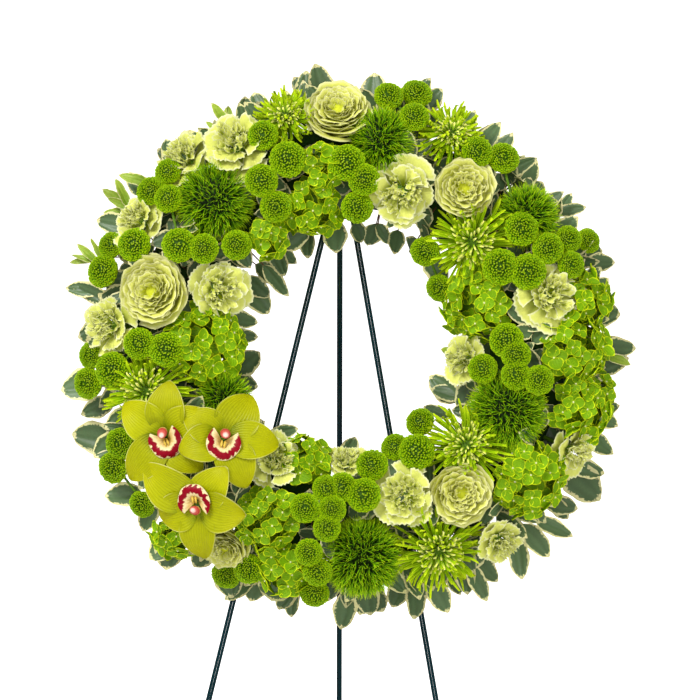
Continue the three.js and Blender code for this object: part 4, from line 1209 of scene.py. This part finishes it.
HOOK_PATH = [Vector((0, up, out)) for up, out in (
    (CROSS_BAR_Y, HOOK_START), (CROSS_BAR_Y, HOOK_START + 3), (HOOK_Y - 1, HOOK_START + 12), (HOOK_Y, 2),
    (HOOK_Y, HOOK_REACH - 6), (HOOK_Y + 2, HOOK_REACH), (HOOK_Y + 14, HOOK_REACH + 4),
)]


def along_path(path, share):
    """The point a share of the way along a smooth path, counted in its points, and the way it runs there."""
    i = max(0, min(len(path) - 2, int(share)))
    t = share - i
    a, b = path[i], path[i + 1]
    before = (b - path[i - 1]) / 2 if i else b - a
    after = (path[i + 2] - a) / 2 if i + 2 < len(path) else b - a
    point = a * (2 * t ** 3 - 3 * t ** 2 + 1) + before * (t ** 3 - 2 * t ** 2 + t)
    point += b * (3 * t ** 2 - 2 * t ** 3) + after * (t ** 3 - t ** 2)
    run = (a - b) * (6 * t * t - 6 * t) + before * (3 * t * t - 4 * t + 1) + after * (3 * t * t - 2 * t)
    return point, run.normalized()


class WREATH_OT_easel(bpy.types.Operator):
    """Makes the folding wire easel"""

    bl_idname = "wreath.easel"
    bl_label = "Easel"

    def execute(self, context):
        settings = context.scene.wreath_stand
        radius = settings.wire / MM / 2
        # Dipped gloss enamel on drawn steel wire: teal-black with a hard narrow highlight.
        gloss = {"Roughness": 0.12, "IOR": 1.5, "Specular IOR Level": 0.8, "Coat Weight": 1.0, "Coat Roughness": 0.05}
        enamel = plain_finish("gloss_enamel", settings.enamel, gloss, spread=0.0, veins=0, vein_depth=0.02, mottle=8)
        pivot = Vector((BACK_LEG_X, PIVOT_Y, PIVOT_Z))

        def wire(name, ends, at_floor=False, body=FRONT):
            bunch = Bunch()
            bunch.rod(*ends, radius, sides=WIRE_SIDES)
            if at_floor:
                self.cut(bunch)
            if name == "back_leg":
                self.eye(bunch, pivot)
            bunch.piece(f"{name}_wire", [enamel], "easel_paint", [name], body=body)

        for name, side, splay in FRONT_LEGS:
            wire(name, [Vector((APEX_X + side * (LEG_APART + splay * (APEX_Y - y)), y, LEG_PLANE))
                        for y in (LEG_TOP_Y, APEX_Y - FOOT_RUN)], at_floor=True)
        angle = BACK_LEG_LEAN + LEAN
        heading = Vector((-BACK_LEG_DRIFT, -math.cos(angle), -math.sin(angle))).normalized()
        wire("back_leg", [pivot + heading * along for along in (BACK_LEG_START, FOOT_RUN)], at_floor=True,
             body="back_leg")
        wire("pivot_bar", [pivot + Vector((APEX_X + side * PIVOT_HALF - BACK_LEG_X, 0, 0)) for side in (-1, 1)])
        wire("cross_bar", [
            Vector((APEX_X + side * (LEG_APART + splay * (APEX_Y - CROSS_BAR_Y) + CROSS_BAR_PAST), CROSS_BAR_Y,
                    LEG_PLANE + CROSS_BAR_RISE)) for _, side, splay in FRONT_LEGS
        ])
        bunch = Bunch()
        bunch.add(self.hook(), Matrix())
        bunch.piece("hanger_hook_wire", [enamel], "easel_paint", ["hanger_hook"])
        return {"FINISHED"}

    def hook(self):
        """The hook that carries the ring: a wire that leaves the cross bar, runs forward and turns up."""
        bm = bmesh.new()
        bmesh.ops.create_cone(bm, cap_ends=True, segments=16, radius1=HOOK_WIRE, radius2=HOOK_WIRE, depth=1)
        bmesh.ops.subdivide_edges(bm, edges=long_edges(bm), cuts=HOOK_STEPS - 1, use_grid_fill=True)
        across = Vector((1, 0, 0))
        for v in bm.verts:
            middle, run = along_path(HOOK_PATH, (v.co.z + 0.5) * (len(HOOK_PATH) - 1))
            v.co = Vector((APEX_X, 0, 0)) + middle + across * v.co.x + run.cross(across) * v.co.y
        bmesh.ops.recalc_face_normals(bm, faces=bm.faces[:])
        return to_mesh(bm)

    def cut(self, bunch):
        """Cuts the rod off flat at the floor."""
        bm = bunch.bm
        floor = RING.inverted() @ Vector((0, 0, 0))
        up = (RING.inverted().to_3x3() @ Vector((0, 0, 1))).normalized()
        bmesh.ops.bisect_plane(bm, geom=bm.verts[:] + bm.edges[:] + bm.faces[:], dist=1e-4, plane_co=floor,
                               plane_no=up, clear_inner=True)
        bmesh.ops.holes_fill(bm, edges=[e for e in bm.edges if e.is_boundary], sides=0)

    def eye(self, bunch, pivot):
        """The eye of the back leg: a ring of wire round the pivot bar."""
        bm = bmesh.new()
        bmesh.ops.create_circle(bm, cap_ends=False, radius=EYE_WIRE, segments=12,
                                matrix=Matrix.Translation((0, EYE_RADIUS, 0)))
        bmesh.ops.spin(bm, geom=bm.verts[:] + bm.edges[:], axis=(1, 0, 0), cent=(0, 0, 0), angle=TURN, steps=32,
                       use_merge=True)
        bmesh.ops.remove_doubles(bm, verts=bm.verts[:], dist=1e-4)
        bmesh.ops.recalc_face_normals(bm, faces=bm.faces[:])
        bunch.add(to_mesh(bm), Matrix.Translation(pivot))


# ---- Stage ----
AIR_SEEN, AIR_LIGHT, AIR_MIRRORED = 1.12, 0.57, 0.05  # the white air as the camera, the flowers and a gloss get it
AIM_HEIGHT = 50  # the lights and the camera aim this far out of the ring's face
# Name, place, width, height, power, and whether it shows in a gloss. The tall strip in front draws the narrow
# highlight down the enamelled legs.
LIGHTS = (
    ("key_softbox", (-1.5, -2.2, 3.2), 1.1, 1.1, 90, True), ("fill_softbox", (2.4, -2.6, 1.4), 1.4, 1.4, 30, False),
    ("front_strip", (0, -3.2, 1.35), 0.25, 1.1, 11, True), ("rear_softbox", (0.4, 2.6, 2.6), 2.0, 2.0, 30, True),
)
FLOOR_RADIUS, FLOOR_DROP = 80, 0.0005
CAMERA_DEGREES_UP, CAMERA_DROP = 8, 0.009
SENSOR, LENS, FAR = 36, 128.57, 200


class WREATH_OT_stage(bpy.types.Operator):
    """Makes the floor, the soft studio light and the camera"""

    bl_idname = "wreath.stage"
    bl_label = "Stage"

    def execute(self, context):
        scene = context.scene
        settings = scene.wreath_stage
        bm = bmesh.new()
        bmesh.ops.create_circle(bm, cap_ends=True, radius=FLOOR_RADIUS, segments=96)
        mesh = to_mesh(bm)
        mesh.transform(Matrix.Translation((0, 0, -FLOOR_DROP)))
        floor = bpy.data.objects.new("studio_floor", mesh)
        scene.collection.objects.link(floor)
        # Matte white studio sweep, lit evenly.
        paint = bpy.data.materials.new("matte_studio_floor")
        paint.use_nodes = True
        shader = paint.node_tree.nodes["Principled BSDF"]
        shader.inputs["Base Color"].default_value = rgba(settings.floor)
        shader.inputs["Roughness"].default_value = 0.9
        shader.inputs["Emission Color"].default_value = (1, 1, 1, 1)
        seen = node(paint.node_tree, "LightPath").outputs["Is Camera Ray"]
        paint.node_tree.links.new(seen, shader.inputs["Emission Strength"])
        mesh.materials.append(paint)
        floor.visible_glossy = False

        world = bpy.data.worlds.new("studio_air")
        world.use_nodes = True
        air = world.node_tree
        air.nodes.clear()
        seen = node(air, "LightPath").outputs["Is Camera Ray"]
        glow = node(air, "Math", {0: seen, 1: AIR_SEEN - AIR_LIGHT, 2: AIR_LIGHT}, operation="MULTIPLY_ADD")
        shiny = node(air, "LightPath").outputs["Is Glossy Ray"]
        glow = node(air, "Math", {0: shiny, 1: AIR_MIRRORED - AIR_LIGHT, 2: glow}, operation="MULTIPLY_ADD")
        sky = node(air, "Background", {"Color": (1, 1, 1, 1), "Strength": glow})
        node(air, "OutputWorld", {"Surface": sky})
        scene.world = world
        scene.view_settings.view_transform = "Standard"

        target = RING @ Vector((0, 0, AIM_HEIGHT))
        for name, place, wide, tall, power, mirrored in LIGHTS:
            lamp = bpy.data.lights.new(name, "AREA")
            lamp.shape = "RECTANGLE"
            lamp.size, lamp.size_y, lamp.energy = wide, tall, power
            light = bpy.data.objects.new(name, lamp)
            light.visible_camera = False
            light.visible_glossy = mirrored
            light.location = place
            light.rotation_euler = (target - Vector(place)).to_track_quat("-Z", "Y").to_euler()
            scene.collection.objects.link(light)

        camera = bpy.data.objects.new("camera", bpy.data.cameras.new("camera"))
        tilt = math.radians(CAMERA_DEGREES_UP)
        back = Vector((0, -math.cos(tilt), math.sin(tilt)))
        up = Vector((0, math.sin(tilt), math.cos(tilt)))
        camera.data.sensor_width, camera.data.lens, camera.data.clip_end = SENSOR, LENS, FAR
        camera.location = target - up * CAMERA_DROP + back * settings.distance
        camera.rotation_euler = (-back).to_track_quat("-Z", "Y").to_euler()
        scene.collection.objects.link(camera)
        scene.camera = camera
        return {"FINISHED"}


# ---- Add-on ----
SETTINGS = {
    "wreath_flowers": WreathFlowerSettings, "wreath_foliage": WreathFoliageSettings,
    "wreath_stand": WreathStandSettings, "wreath_stage": WreathStageSettings,
}
OPERATORS = (
    WREATH_OT_stage, WREATH_OT_ring, WREATH_OT_easel, WREATH_OT_foliage, WREATH_OT_hydrangeas, WREATH_OT_button_mums,
    WREATH_OT_spider_mums, WREATH_OT_dianthus, WREATH_OT_carnations, WREATH_OT_roses, WREATH_OT_orchids,
)


class WREATH_PT_panel(bpy.types.Panel):
    bl_label = "Funeral wreath"
    bl_idname = "WREATH_PT_panel"
    bl_space_type = "VIEW_3D"
    bl_region_type = "UI"
    bl_category = "Wreath"

    def draw(self, context):
        for name, group in SETTINGS.items():
            column = self.layout.column()
            for field in group.__annotations__:
                column.prop(getattr(context.scene, name), field)
        for operator in OPERATORS:
            self.layout.operator(operator.bl_idname)


def register():
    for item in (*SETTINGS.values(), *OPERATORS, WREATH_PT_panel):
        bpy.utils.register_class(item)
    for name, group in SETTINGS.items():
        setattr(bpy.types.Scene, name, PointerProperty(type=group))


def unregister():
    for name in SETTINGS:
        delattr(bpy.types.Scene, name)
    for item in (WREATH_PT_panel, *reversed(OPERATORS), *reversed(SETTINGS.values())):
        bpy.utils.unregister_class(item)


def main():
    register()
    for operator in OPERATORS:
        group, action = operator.bl_idname.split(".")
        getattr(getattr(bpy.ops, group), action)()


if __name__ == "__main__":
    main()
